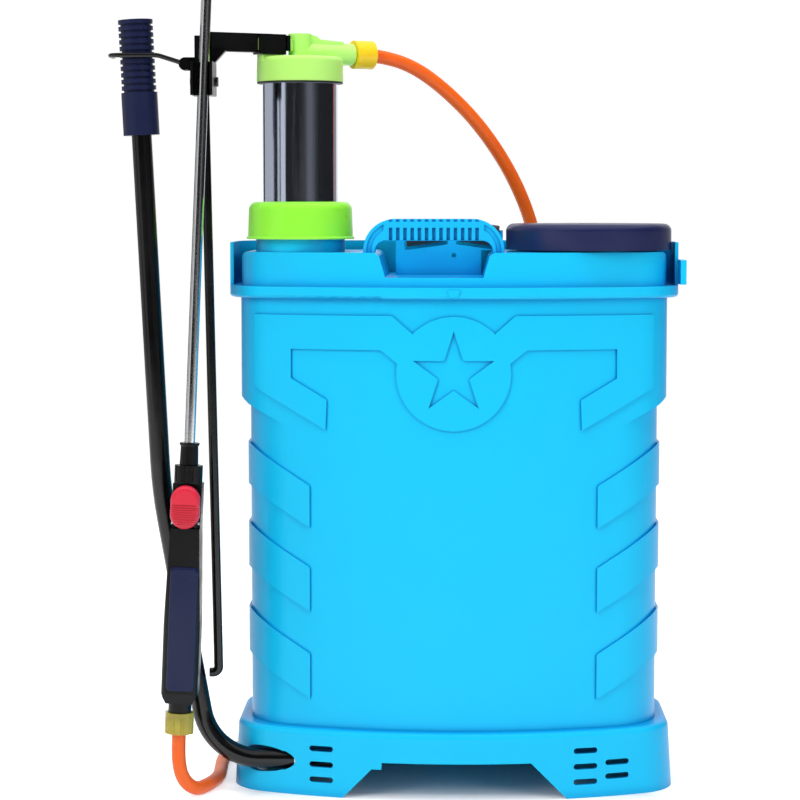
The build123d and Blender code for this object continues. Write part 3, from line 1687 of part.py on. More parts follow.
web_half = strap_thickness / 2
web_back = tray_back + seat_gap + 3 * strap_thickness
loop_front = plate_y - plate_thickness / 2 - seat_gap - web_half
loop_rise = strap_width / 2 * math.tan(math.radians(strap_slant))
loop_top = plate_top - strap_slot_z + loop_rise + 2 * strap_thickness

with BuildPart() as strap_loops:
    for x, slant in ((strap_left_x, strap_slant), (strap_right_x, -strap_slant)):
        lean = math.radians(slant)
        loop_plane = Plane(
            origin=(x, 0, strap_slot_z), x_dir=(0, 1, 0), z_dir=(math.cos(lean), 0, math.sin(lean))
        )
        with BuildSketch(loop_plane):
            with BuildLine():
                FilletPolyline(
                    (plate_y + 3 * plate_thickness, 0),
                    (loop_front, 0),
                    (loop_front, loop_top),
                    (plate_y + 3 * plate_thickness, loop_top),
                    (tray_back - 3 * tray_wall, loop_over_wall),
                    (web_back, loop_over_wall),
                    (web_back, -loop_drop),
                    radius=loop_bends,
                )
            trace(line_width=strap_thickness)
        extrude(amount=strap_width / 2, both=True)

strap_loops.part.label = "strap_loops"
export_step(strap_loops.part, "parts/strap_loops.step")


def strap_plane(side, x):
    """Plane in which a strap hangs, from its loop out to the foot of the base."""
    run = Vector(side * strap_foot_x - x, 0, anchor_low - strap_slot_z).normalized()
    return Plane(origin=(x, 0, strap_slot_z), x_dir=(0, 1, 0), z_dir=Vector(0, 1, 0).cross(-run))


web_start = web_back + strap_thickness + seat_gap
pad_middle = -web_top - pad_drop - pad_length / 2
strap_drop = (strap_slot_z - anchor_low - web_half) / math.cos(math.atan(strap_lean))

for side, name, x in ((-1, "left", strap_left_x), (1, "right", strap_right_x)):
    hang = strap_plane(side, x)
    with BuildPart() as strap_web:
        with BuildSketch(hang):
            with BuildLine():
                FilletPolyline(
                    (web_start, -web_top),
                    (web_start, -web_top - web_lead),
                    (strap_swell, -web_top - web_shoulder),
                    (strap_swell, -strap_drop + web_waist),
                    (anchor_y, -strap_drop + web_foot),
                    (anchor_y, -strap_drop + strap_foot_gap),
                    radius=web_bends,
                )
            trace(line_width=strap_thickness)
        extrude(amount=strap_width / 2, both=True)
    strap_web.part.label = f"strap_web_{name}"
    export_step(strap_web.part, f"parts/strap_web_{name}.step")

    with BuildPart() as strap_pad:
        pad_plane = Plane(
            origin=hang.from_local_coords((strap_swell - web_half - seat_gap, pad_middle, 0)),
            x_dir=hang.z_dir,
            z_dir=(0, -1, 0),
        )
        with BuildSketch(pad_plane):
            RectangleRounded(pad_width, pad_length, pad_width / 4)
        extrude(amount=pad_thickness)
        fillet(strap_pad.edges().filter_by(GeomType.LINE).group_by(Axis.Y)[0], pad_thickness / 3)
    strap_pad.part.label = f"strap_pad_{name}"
    export_step(strap_pad.part, f"parts/strap_pad_{name}.step")

    with BuildPart() as strap_buckle:
        buckle_height_at = pad_middle - pad_length / 2 - buckle_height
        with BuildSketch(hang):
            with Locations((strap_swell, buckle_height_at)):
                Rectangle(buckle_depth, buckle_height)
        extrude(amount=buckle_width / 2, both=True)
        with BuildSketch(hang):
            with Locations((strap_swell, buckle_height_at)):
                Rectangle(strap_thickness + 2 * seat_gap, 2 * buckle_height)
        extrude(amount=strap_width / 2 + seat_gap, both=True, mode=Mode.SUBTRACT)
    strap_buckle.part.label = f"strap_buckle_{name}"
    export_step(strap_buckle.part, f"parts/strap_buckle_{name}.step")

# ---------------------------------------------------------------------------
# Hose, in two lengths that meet behind the tank
# ---------------------------------------------------------------------------

outlet_mouth = outlet_plane.from_local_coords((0, 0, outlet_reach))
valve_mouth = lance_plane.from_local_coords((0, 0, hose_nut_length - nut_overlap))

upper_hose_points = [
    outlet_mouth,
    outlet_plane.from_local_coords((0, 0, outlet_reach + hose_nut_length)),
    (-38, 30, 629),
    (-10, 45, 610),
    (20, 62, 581),
    (46, 78, 545),
    (66, 93, 505),
    (78, 105, 462),
    (88, 112, 412),
    (104, 115, 350),
    (124, 116, 285),
    (145, 115, 218),
    (162, 114, 158),
    (170, 113, 105),
    (163, 112, 48),
    (130, 112, 14),
    (80, 114, floor_height),
    (38, 113, floor_height),
    (-5, 113, floor_height),
]
lower_hose_points = [
    (-5, 113, floor_height),
    (-47, 113, floor_height),
    (-94, 116, floor_height),
    (-138, 119, floor_height),
    (-166, 108.5, floor_height),
    (-191, 89, floor_height),
    (-206, 60, floor_height),
    (-208, 24, floor_height),
    (-206, -8, floor_height),
    (-205, -38, floor_height),
    (-211, -65, floor_height),
    (-221, -84, floor_height),
    (-231, -91, 17),
    (-234.4, -92.4, 34),
    lance_plane.from_local_coords((0, 0, 0)),
    valve_mouth,
]


def bend_radii(points):
    """Radius of each bend: 0.45 of the shorter run over the tangent of half the turn."""
    radii = []
    for before, corner, after in zip(points, points[1:], points[2:]):
        arriving = Vector(*corner) - Vector(*before)
        leaving = Vector(*after) - Vector(*corner)
        half_turn = math.radians(arriving.get_angle(leaving) / 2)
        radii.append(0.45 * min(arriving.length, leaving.length) / math.tan(half_turn))
    return radii


for name, points in (("hose_upper", upper_hose_points), ("hose_lower", lower_hose_points)):
    radii = bend_radii(points)
    with BuildPart() as hose:
        with BuildLine() as route:
            FilletPolyline(*points, radius=radii)
        with BuildSketch(Plane(origin=route.line @ 0, z_dir=route.line % 0)):
            Circle(hose_radius)
        sweep()
    hose.part.label = name
    export_step(hose.part, f"parts/{name}.step")
    length = sum(piece.length for piece in route.edges())
    share = hose.part.volume / (math.pi * hose_radius**2 * length)
    print(name, "length", round(length), "volume share", round(share, 4))
    print(name, "bend radii", [round(radius) for radius in radii])
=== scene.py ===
import math

import bmesh
import bpy
from bpy.props import FloatProperty, FloatVectorProperty, IntProperty, PointerProperty
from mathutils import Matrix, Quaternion, Vector


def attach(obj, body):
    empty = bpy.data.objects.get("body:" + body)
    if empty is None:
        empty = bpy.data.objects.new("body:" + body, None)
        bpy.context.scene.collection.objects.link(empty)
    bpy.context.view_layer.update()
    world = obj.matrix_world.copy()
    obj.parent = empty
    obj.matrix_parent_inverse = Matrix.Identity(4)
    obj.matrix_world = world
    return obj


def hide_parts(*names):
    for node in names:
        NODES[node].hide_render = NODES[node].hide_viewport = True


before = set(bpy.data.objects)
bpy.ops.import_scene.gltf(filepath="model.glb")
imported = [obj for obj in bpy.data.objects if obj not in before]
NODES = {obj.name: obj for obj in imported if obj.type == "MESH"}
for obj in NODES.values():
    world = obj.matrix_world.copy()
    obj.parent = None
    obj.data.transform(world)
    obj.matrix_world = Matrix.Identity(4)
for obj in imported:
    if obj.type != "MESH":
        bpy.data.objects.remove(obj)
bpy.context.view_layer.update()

bl_info = {
    "name": "Backpack Sprayer",
    "version": (1, 0, 0),
    "blender": (4, 2, 0),
    "location": "3D View > Sidebar > Sprayer",
    "description": "Dresses the packed backpack sprayer with its materials, hose and straps",
    "category": "Object",
}

BLACK = ((0.0018, 0.0018, 0.0022), (0.0045, 0.0045, 0.0055))  # tone and drift of the black plastics

# Route of the hose, in metres, from the pump's outlet to the floor and on to the lance
UPPER_ROUTE = (
    (-0.08276, 0.00792, 0.6366),
    (-0.06689, 0.01642, 0.6366),
    (-0.038, 0.030, 0.629),
    (-0.010, 0.045, 0.610),
    (0.020, 0.062, 0.581),
    (0.046, 0.078, 0.545),
    (0.066, 0.093, 0.505),
    (0.078, 0.105, 0.462),
    (0.088, 0.112, 0.412),
    (0.104, 0.115, 0.350),
    (0.124, 0.116, 0.285),
    (0.145, 0.115, 0.218),
    (0.162, 0.114, 0.158),
    (0.170, 0.113, 0.105),
    (0.163, 0.112, 0.048),
    (0.130, 0.112, 0.014),
    (0.080, 0.114, 0.0063),
    (0.038, 0.113, 0.0063),
    (-0.005, 0.113, 0.0063),
)
LOWER_ROUTE = (
    (-0.005, 0.113, 0.0063),
    (-0.047, 0.113, 0.0063),
    (-0.094, 0.116, 0.0063),
    (-0.138, 0.119, 0.0063),
    (-0.166, 0.1085, 0.0063),
    (-0.191, 0.089, 0.0063),
    (-0.206, 0.060, 0.0063),
    (-0.208, 0.024, 0.0063),
    (-0.206, -0.008, 0.0063),
    (-0.205, -0.038, 0.0063),
    (-0.211, -0.065, 0.0063),
    (-0.221, -0.084, 0.0063),
    (-0.231, -0.091, 0.017),
    (-0.2344, -0.0924, 0.034),
    (-0.2337, -0.0920, 0.0578),
    (-0.23319, -0.09177, 0.0698),
)

# Upright screens for the mirrors: from and to in degrees to the right of the camera, distance, glow
SCREENS = (
    (-44, 128, 3.4, 0.02),
    (-70, -44, 3.4, 0.75),
    (-77, -70, 3.4, 0.05),
    (-134, -77, 3.4, 0.55),
    (-150, -134, 3.4, 0.05),
    (128, 150, 3.4, 0.35),
    (8, 58, 3.2, 0.05),
    (15, 48, 3.1, 0.10),
    (22, 39, 3.0, 0.16),
)

# Side view of a strap: how far back it is, and how far along its run
SWELL = 0.122
LOOP_PROFILE = (
    (0.019, 0.0),
    (0.0074, 0.0),
    (0.0074, 0.0171),
    (0.019, 0.0171),
    (0.084, 0.0054),
    (0.0981, 0.0054),
    (0.0981, -0.032),
)
STITCH_INSET = 0.004  # from the webbing's edge to its seams
STITCHED = (0.111, 0.270)  # where the seams that hold the pad start and end along the run
WEB_PROFILE = (
    (0.100, 0.018),
    (0.100, 0.048),
    (0.122, 0.093),
    (0.122, 0.3245),
    (0.0915, 0.4095),
    (0.0915, 0.4485),
)


# ---------------------------------------------------------------------------
# Materials
# ---------------------------------------------------------------------------


class Shader:
    """A material being built: nodes are added by type and linked by socket name."""

    def __init__(self, name, color, roughness, metallic=0.0, ior=1.5):
        self.material = bpy.data.materials.new(name)
        self.material.use_nodes = True
        self.tree = self.material.node_tree
        self.tree.nodes.clear()
        self.output = self.tree.nodes.new("ShaderNodeOutputMaterial")
        self.surface = self.tree.nodes.new("ShaderNodeBsdfPrincipled")
        self.link(self.surface, "BSDF", self.output, "Surface")
        self.surface.inputs["Base Color"].default_value = (*color, 1)
        self.surface.inputs["Roughness"].default_value = roughness
        self.surface.inputs["Metallic"].default_value = metallic
        self.surface.inputs["IOR"].default_value = ior

    def set(self, **values):
        for name, value in values.items():
            self.surface.inputs[name.replace("_", " ")].default_value = value
        return self

    def link(self, source, output, target, socket):
        self.tree.links.new(source.outputs[output], target.inputs[socket])

    def add(self, kind, **values):
        node = self.tree.nodes.new(kind)
        for name, value in values.items():
            setattr(node, name, value)
        return node

    def coordinates(self, stretch=(1, 1, 1)):
        where = self.add("ShaderNodeTexCoord")
        scaled = self.add("ShaderNodeMapping")
        scaled.inputs["Scale"].default_value = stretch
        self.link(where, "Object", scaled, "Vector")
        return scaled

    def noise(self, scale, detail=4.0, stretch=(1, 1, 1), coordinates=None):
        texture = self.add("ShaderNodeTexNoise")
        texture.inputs["Scale"].default_value = scale
        texture.inputs["Detail"].default_value = detail
        self.link(coordinates or self.coordinates(stretch), "Vector", texture, "Vector")
        return texture

    def spread(self, source, output, low, high, floor=0.3, ceiling=0.7):
        """Maps a texture's value from one range to another."""
        span = self.add("ShaderNodeMapRange")
        span.inputs["From Min"].default_value = floor
        span.inputs["From Max"].default_value = ceiling
        span.inputs["To Min"].default_value = low
        span.inputs["To Max"].default_value = high
        self.link(source, output, span, "Value")
        return span

    def mottle(self, color, other, scale, amount=1.0, stretch=(1, 1, 1)):
        """Drifts the colour between two tones."""
        blend = self.add("ShaderNodeMix", data_type="RGBA")
        blend.inputs["A"].default_value = (*color, 1)
        blend.inputs["B"].default_value = (*other, 1)
        span = self.spread(self.noise(scale, stretch=stretch), "Fac", 0.0, amount)
        self.link(span, "Result", blend, "Factor")
        self.link(blend, "Result", self.surface, "Base Color")
        return blend

    def vary_roughness(self, low, high, scale, stretch=(1, 1, 1)):
        span = self.spread(self.noise(scale, 6.0, stretch), "Fac", low, high)
        self.link(span, "Result", self.surface, "Roughness")
        return self

    def bump(self, *layers):
        """Stacks bumps; each layer is (texture node, output, height in metres)."""
        last = None
        for texture, output, height in layers:
            node = self.add("ShaderNodeBump")
            node.inputs["Strength"].default_value = 1.0
            node.inputs["Distance"].default_value = height
            self.link(texture, output, node, "Height")
            if last is not None:
                self.link(last, "Normal", node, "Normal")
            last = node
        self.link(last, "Normal", self.surface, "Normal")
        return self


def moulded(name, color, shade, roughness=0.32, soft=0.12, waves=0.0006, grain=0.00003):
    """Moulded plastic: drifting tone, slow waves from the mould and a fine skin."""
    shader = Shader(name, color, roughness)
    if max(color) < 0.06:
        shader.set(Specular_IOR_Level=0.22)
    shader.mottle(color, shade, 5.0, 0.5)
    shader.vary_roughness(roughness - 0.05, roughness + 0.09, 40.0)
    shader.set(Subsurface_Weight=soft, Subsurface_Scale=0.012, Subsurface_Radius=(0.4, 0.8, 1.0))
    shader.bump((shader.noise(9.0, 1.0), "Fac", waves), (shader.noise(900.0, 2.0), "Fac", grain))
    return shader.material


def tank_plastic(name, color, deep):
    """Blow-moulded tank wall: deeper where the wall is seen edge on, streaked down its height, with painted
    shade that darkens its crevices, under the lip and round the relief.
    """
    shader = Shader(name, color, 0.3)
    facing = shader.add("ShaderNodeLayerWeight")
    facing.inputs["Blend"].default_value = 0.35
    tone = shader.add("ShaderNodeMix", data_type="RGBA")
    tone.inputs["A"].default_value = (*color, 1)
    tone.inputs["B"].default_value = (*deep, 1)
    share = shader.add("ShaderNodeMath", operation="MULTIPLY")
    share.inputs[1].default_value = 0.75
    shader.link(facing, "Facing", share, 0)
    shader.link(share, "Value", tone, "Factor")
    streaks = shader.add("ShaderNodeMix", data_type="RGBA", blend_type="MULTIPLY")
    streaks.inputs["B"].default_value = (0.78, 0.95, 1.0, 1)
    cloud = shader.spread(shader.noise(4.0, 3.0, (1, 1, 0.35)), "Fac", 0.0, 0.55)
    shader.link(cloud, "Result", streaks, "Factor")
    shader.link(tone, "Result", streaks, "A")
    # Painted shade: occlusion darkens the colour towards three quarters of the deep tone in crevices, under
    # the lip and round the relief.
    painted_crevice_shade = shader.add("ShaderNodeAmbientOcclusion", samples=12)
    painted_crevice_shade.inputs["Distance"].default_value = 0.016
    shaded = shader.add("ShaderNodeMix", data_type="RGBA")
    shaded.inputs["A"].default_value = (*(0.75 * c for c in deep), 1)
    open_share = shader.spread(painted_crevice_shade, "AO", 0.0, 1.0, 0.1, 0.8)
    shader.link(open_share, "Result", shaded, "Factor")
    shader.link(streaks, "Result", shaded, "B")
    shader.link(shaded, "Result", shader.surface, "Base Color")
    shader.vary_roughness(0.27, 0.36, 9.0)
    shader.set(Specular_IOR_Level=0.22)
    shader.bump(
        (shader.noise(9.0, 1.0, (1, 1, 0.5)), "Fac", 0.0007),
        (shader.noise(1100.0, 2.0), "Fac", 0.00001),
    )
    return shader.material


def steel(name, roughness, stretch=(1, 1, 1), color=(0.72, 0.73, 0.75)):
    """Polished or drawn steel with fine lines along or round it."""
    shader = Shader(name, color, roughness, metallic=1.0)
    shader.mottle(color, tuple(0.86 * c for c in color), 60.0, 0.6, stretch)
    shader.vary_roughness(roughness * 0.6, roughness * 1.7, 240.0, stretch)
    shader.bump((shader.noise(500.0, 4.0, stretch), "Fac", 0.00001))
    return shader.material


def painted(name, color, roughness=0.16):
    """Gloss paint on a tube, with a little orange peel and dust."""
    shader = Shader(name, color, roughness)
    shader.mottle(color, tuple(2.2 * c + 0.003 for c in color), 30.0, 0.5)
    shader.vary_roughness(roughness - 0.05, roughness + 0.16, 14.0)
    shader.set(Coat_Weight=0.15, Coat_Roughness=0.08, Specular_IOR_Level=0.35)
    shader.bump((shader.noise(300.0, 2.0), "Fac", 0.00003), (shader.noise(40.0, 1.0), "Fac", 0.0001))
    return shader.material


def soft_rubber(name, color, roughness=0.4, soft=0.25):
    """Extruded hose: waxy, slightly translucent, with faint drawing lines."""
    shader = Shader(name, color, roughness)
    shader.mottle(color, (color[0] * 0.9, color[1] * 0.7, color[2] * 0.7), 18.0, 0.6)
    shader.vary_roughness(roughness - 0.1, roughness + 0.1, 60.0)
    shader.set(Subsurface_Weight=soft, Subsurface_Scale=0.004, Subsurface_Radius=(1.0, 0.4, 0.15))
    shader.bump((shader.noise(420.0, 3.0), "Fac", 0.00003))
    return shader.material


def webbing_fabric(name, color, pitch):
    """Woven webbing: two crossed sets of ridges in the ribbon's own UV, with loose fibres."""
    shader = Shader(name, color, 0.75)
    place = shader.add("ShaderNodeUVMap", uv_map="weave")
    ridges = []
    for direction in ("X", "Y"):
        wave = shader.add("ShaderNodeTexWave", wave_type="BANDS", bands_direction=direction)
        wave.inputs["Scale"].default_value = 1.0 / pitch / 6.2832 * 3.1416
        wave.inputs["Distortion"].default_value = 0.4
        shader.link(place, "UV", wave, "Vector")
        ridges.append((wave, "Fac", 0.00022))
    fibres = shader.noise(2400.0, 3.0)
    blend = shader.mottle(color, tuple(2.6 * c + 0.008 for c in color), 700.0, 0.7)
    blend.inputs["A"].default_value = (*color, 1)
    shader.set(Sheen_Weight=0.4, Sheen_Roughness=0.5)
    shader.bump(*ridges, (fibres, "Fac", 0.00008))
    return shader.material


def padded_cover(name, color):
    """Padding cover of fine woven nylon, with soft creases."""
    shader = Shader(name, color, 0.7)
    shader.mottle(color, tuple(2.0 * c + 0.004 for c in color), 90.0, 0.6)
    threads = []
    for stretch in ((1, 1, 0.15), (0.15, 1, 1)):
        threads.append((shader.noise(1400.0, 2.0, stretch), "Fac", 0.00006))
    shader.set(Sheen_Weight=0.3, Sheen_Roughness=0.5, Specular_IOR_Level=0.25)
    shader.bump((shader.noise(70.0, 3.0, (1, 1, 0.5)), "Fac", 0.0004), *threads)
    return shader.material


def dress(material, *names):
    """Gives CAD nodes a material."""
    for name in names:
        slots = NODES[name].data.materials
        slots.clear()
        slots.append(material)


# ---------------------------------------------------------------------------
# Meshes
# ---------------------------------------------------------------------------


def piece(name, mesh, material, body):
    mesh.materials.append(material)
    made = bpy.data.objects.new(name, mesh)
    bpy.context.scene.collection.objects.link(made)
    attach(made, body)
    return made


def rounded_line(points, radii, spacing=0.008):
    """Points along straight runs joined by round bends, one radius for each inner corner."""
    corners = [Vector(point) for point in points]
    stops = [corners[0]]
    for before, corner, after, radius in zip(corners, corners[1:], corners[2:], radii):
        arrive, leave = (corner - before).normalized(), (after - corner).normalized()
        turn = arrive.angle(leave)
        reach = radius * math.tan(turn / 2)
        inward = (leave - arrive).normalized()
        centre = corner + inward * radius / math.cos(turn / 2)
        first = corner - arrive * reach - centre
        axis = arrive.cross(leave).normalized()
        steps = max(3, round(math.degrees(turn) / 8))
        stops += [centre + Quaternion(axis, turn * step / steps) @ first for step in range(steps + 1)]
    stops.append(corners[-1])
    line = [stops[0]]
    for near, far in zip(stops, stops[1:]):
        cuts = max(1, round((far - near).length / spacing))
        line += [near.lerp(far, cut / cuts) for cut in range(1, cuts + 1)]
    return line


def ribbon(line, across, width, thickness):
    """A flat strap along a line, with rounded selvedges and a weave map in metres."""
    side = Vector(across).normalized()
    half, thin = width / 2, thickness / 2
    profile = [(-half, 0), (-half + thin * 0.4, thin * 0.8), (-half + 2 * thin, thin)]
    profile += [(-half * 0.5, thin * 0.92), (0, thin), (half * 0.5, thin * 0.92)]
    profile += [(-x, y) for x, y in reversed(profile[:3])]
    profile += [(x, -y) for x, y in reversed(profile[1:-1])]
    shape = bmesh.new()
    rows = []
    travelled = [0.0]
    for index, point in enumerate(line):
        run = (line[min(index + 1, len(line) - 1)] - line[max(index - 1, 0)]).normalized()
        outward = run.cross(side).normalized()
        rows.append([shape.verts.new(point + side * x + outward * y) for x, y in profile])
        if index:
            travelled.append(travelled[-1] + (point - line[index - 1]).length)
    weave = shape.loops.layers.uv.new("weave")
    count = len(profile)
    for index, (row, following) in enumerate(zip(rows, rows[1:])):
        for corner in range(count):
            beyond = (corner + 1) % count
            face = shape.faces.new((row[corner], row[beyond], following[beyond], following[corner]))
            places = ((corner, index), (beyond, index), (beyond, index + 1), (corner, index + 1))
            for loop, (at, along) in zip(face.loops, places):
                loop[weave].uv = (profile[at][0], travelled[along])
            face.smooth = True
    shape.faces.new(rows[0][::-1])
    shape.faces.new(rows[-1])
    bmesh.ops.recalc_face_normals(shape, faces=shape.faces)
    mesh = bpy.data.meshes.new("ribbon")
    shape.to_mesh(mesh)
    shape.free()
    return mesh


def stitches(rows, length=0.0026, gap=0.0016, width=0.0007):
    """Rows of short raised threads; each row is (line of points, direction outwards)."""
    shape = bmesh.new()
    for line, outward in rows:
        outward = Vector(outward).normalized()
        total = sum((b - a).length for a, b in zip(line, line[1:]))
        count = int(total / (length + gap))
        for number in range(count):
            ends = []
            for along in (number * total / count, number * total / count + length):
                left = along
                for a, b in zip(line, line[1:]):
                    if left <= (b - a).length or b is line[-1]:
                        ends.append(a + (b - a).normalized() * left)
                        break
                    left -= (b - a).length
            first, last = ends
            run = (last - first).normalized()
            side = run.cross(outward) * width / 2
            ring = []
            for at, swell in ((0.0, 0.3), (0.25, 1.0), (0.75, 1.0), (1.0, 0.3)):
                middle = first.lerp(last, at)
                wide, high = side * swell, outward * swell * width
                turns = (0, math.pi / 2, math.pi)
                places = [middle + wide * math.cos(turn) + high * math.sin(turn) for turn in turns]
                ring.append([shape.verts.new(place) for place in places])
            for near, far in zip(ring, ring[1:]):
                for corner in range(2):
                    shape.faces.new((near[corner], far[corner], far[corner + 1], near[corner + 1]))
                shape.faces.new((near[2], far[2], far[0], near[0]))
            shape.faces.new(ring[0])
            shape.faces.new(ring[-1][::-1])
    bmesh.ops.recalc_face_normals(shape, faces=shape.faces)
    mesh = bpy.data.meshes.new("stitches")
    shape.to_mesh(mesh)
    shape.free()
    return mesh


def pillow(width, length, depth, corner, pitch=0.004):
    """Two layers of cloth joined at their rim, a rounded rectangle in X and Z, thin in Y."""
    shape = bmesh.new()
    across, along = round(width / pitch), round(length / pitch)
    layers = []
    for side in (-1, 1):
        layer = {}
        for i in range(across + 1):
            for j in range(along + 1):
                rim = i in (0, across) or j in (0, along)
                if rim and side == 1:
                    layer[i, j] = layers[0][i, j]
                    continue
                x, z = (i / across - 0.5) * width, (j / along - 0.5) * length
                inner = Vector((max(abs(x) - width / 2 + corner, 0), max(abs(z) - length / 2 + corner, 0)))
                reach = max(inner)
                if inner.length > 0 and reach > 0:
                    inner *= reach / inner.length
                    x = math.copysign(min(abs(x), width / 2 - corner) + inner.x, x)
                    z = math.copysign(min(abs(z), length / 2 - corner) + inner.y, z)
                layer[i, j] = shape.verts.new((x, 0 if rim else side * depth / 2, z))
        layers.append(layer)
    for side, layer in zip((-1, 1), layers):
        for i in range(across):
            for j in range(along):
                face = (layer[i, j], layer[i + 1, j], layer[i + 1, j + 1], layer[i, j + 1])
                shape.faces.new(face if side == -1 else face[::-1])
    for face in shape.faces:
        face.smooth = True
    bmesh.ops.recalc_face_normals(shape, faces=shape.faces)
    mesh = bpy.data.meshes.new("pad")
    shape.to_mesh(mesh)
    shape.free()
    return mesh


def blow_up(made, frames=20, pressure=4.0, limit=0.006):
    """Fills a closed cloth piece with air and keeps the shape it takes."""
    before = [vertex.co.copy() for vertex in made.data.vertices]
    cloth = made.modifiers.new("cloth", "CLOTH")
    cloth.settings.use_pressure = True
    cloth.settings.uniform_pressure_force = pressure
    cloth.settings.effector_weights.gravity = 0
    cloth.settings.tension_stiffness = 40
    cloth.settings.bending_stiffness = 2
    cloth.point_cache.frame_end = frames
    for frame_number in range(1, frames + 1):
        bpy.context.scene.frame_set(frame_number)
    filled = made.evaluated_get(bpy.context.evaluated_depsgraph_get()).data
    after = [vertex.co.copy() for vertex in filled.vertices]
    made.modifiers.remove(cloth)
    bpy.context.scene.frame_set(1)
    for vertex, old, new in zip(made.data.vertices, before, after):
        move = new - old
        vertex.co = old + move * min(1.0, limit / max(move.length, 1e-9))


def hose_curve(name, route, diameter, material, body):
    curve = bpy.data.curves.new(name, "CURVE")
    curve.dimensions = "3D"
    curve.bevel_depth = diameter / 2
    curve.bevel_resolution = 6
    curve.resolution_u = 10
    curve.use_fill_caps = True
    spline = curve.splines.new("NURBS")
    spline.points.add(len(route) - 1)
    for control, place in zip(spline.points, route):
        control.co = (*place, 1)
    spline.order_u = 3
    spline.use_endpoint_u = True
    curve.materials.append(material)
    made = bpy.data.objects.new(name, curve)
    bpy.context.scene.collection.objects.link(made)
    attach(made, body)
    return made


# ---------------------------------------------------------------------------
# Settings
# ---------------------------------------------------------------------------


def colour(name, description, default):
    return FloatVectorProperty(
        name=name, description=description, subtype="COLOR", size=3, min=0, max=1, default=default
    )


class SprayerColours(bpy.types.PropertyGroup):
    tank: colour("Tank", "Colour of the tank, its tray and its base", (0.006, 0.565, 0.91))
    tank_deep: colour("Tank, deep", "Colour of the tank's walls seen edge on", (0.004, 0.24, 0.70))
    collar: colour("Collar", "Colour of the pump's collar", (0.32, 0.93, 0.05))
    cap: colour("Cap", "Colour of the air chamber's cap", (0.55, 0.95, 0.24))
    nut: colour("Nut", "Colour of the upper hose nut and the nozzle", (0.95, 0.61, 0.01))
    hose: colour("Hose", "Colour of the hose", (0.95, 0.15, 0.005))
    trigger: colour("Trigger", "Colour of the trigger", (0.72, 0.02, 0.05))


class SprayerHose(bpy.types.PropertyGroup):
    diameter: FloatProperty(
        name="Diameter",
        description="Outer diameter of the hose",
        default=0.012,
        min=0.006,
        max=0.02,
        unit="LENGTH",
    )


class SprayerStraps(bpy.types.PropertyGroup):
    width: FloatProperty(
        name="Width", description="Width of the webbing", default=0.034, min=0.02, max=0.05, unit="LENGTH"
    )
    thickness: FloatProperty(
        name="Thickness",
        description="Thickness of the webbing",
        default=0.0016,
        min=0.001,
        max=0.003,
        unit="LENGTH",
    )
    pitch: FloatProperty(
        name="Weave pitch",
        description="Distance between two ridges of the weave",
        default=0.0016,
        unit="LENGTH",
    )


class SprayerStage(bpy.types.PropertyGroup):
    eye: FloatVectorProperty(
        name="Eye", description="Place of the camera", default=(0.0, -2.095, 0.510), subtype="TRANSLATION"
    )
    aim: FloatVectorProperty(
        name="Aim",
        description="Point in the middle of the picture",
        default=(-0.045, -0.095, 0.343),
        subtype="TRANSLATION",
    )
    lens: FloatProperty(name="Lens", description="Focal length of the camera in millimetres", default=107.55)
    light: FloatProperty(name="Light", description="Scales every lamp", default=1.0, min=0.1, max=4.0)
    backdrop: IntProperty(
        name="Backdrop steps", description="Steps in the backdrop's bend", default=16, min=4
    )


# ---------------------------------------------------------------------------
# Operators
# ---------------------------------------------------------------------------


class SPRAYER_OT_tank(bpy.types.Operator):
    """Gives the tank, tray, base, lid and carry handle their moulded plastics"""

    bl_idname = "sprayer.tank"
    bl_label = "Dress the tank"

    def execute(self, context):
        colours = context.scene.sprayer_colours
        tank, deep = tuple(colours.tank), tuple(colours.tank_deep)
        dress(tank_plastic("tank_wall", tank, deep), "tank_shell", "top_tray", "base_skirt")
        handle = tank_plastic("handle_blue", (0.008, 0.50, 0.90), (0.004, 0.22, 0.68))
        dress(handle, "carry_handle", "strap_plate")
        lid = moulded("lid_navy", (0.009, 0.013, 0.068), (0.014, 0.019, 0.085), 0.34, 0.0)
        dress(lid, "filler_lid", "lid_vent")
        dress(moulded("basket_white", (0.8, 0.82, 0.8), (0.7, 0.73, 0.72), 0.4), "strainer_basket")
        return {"FINISHED"}


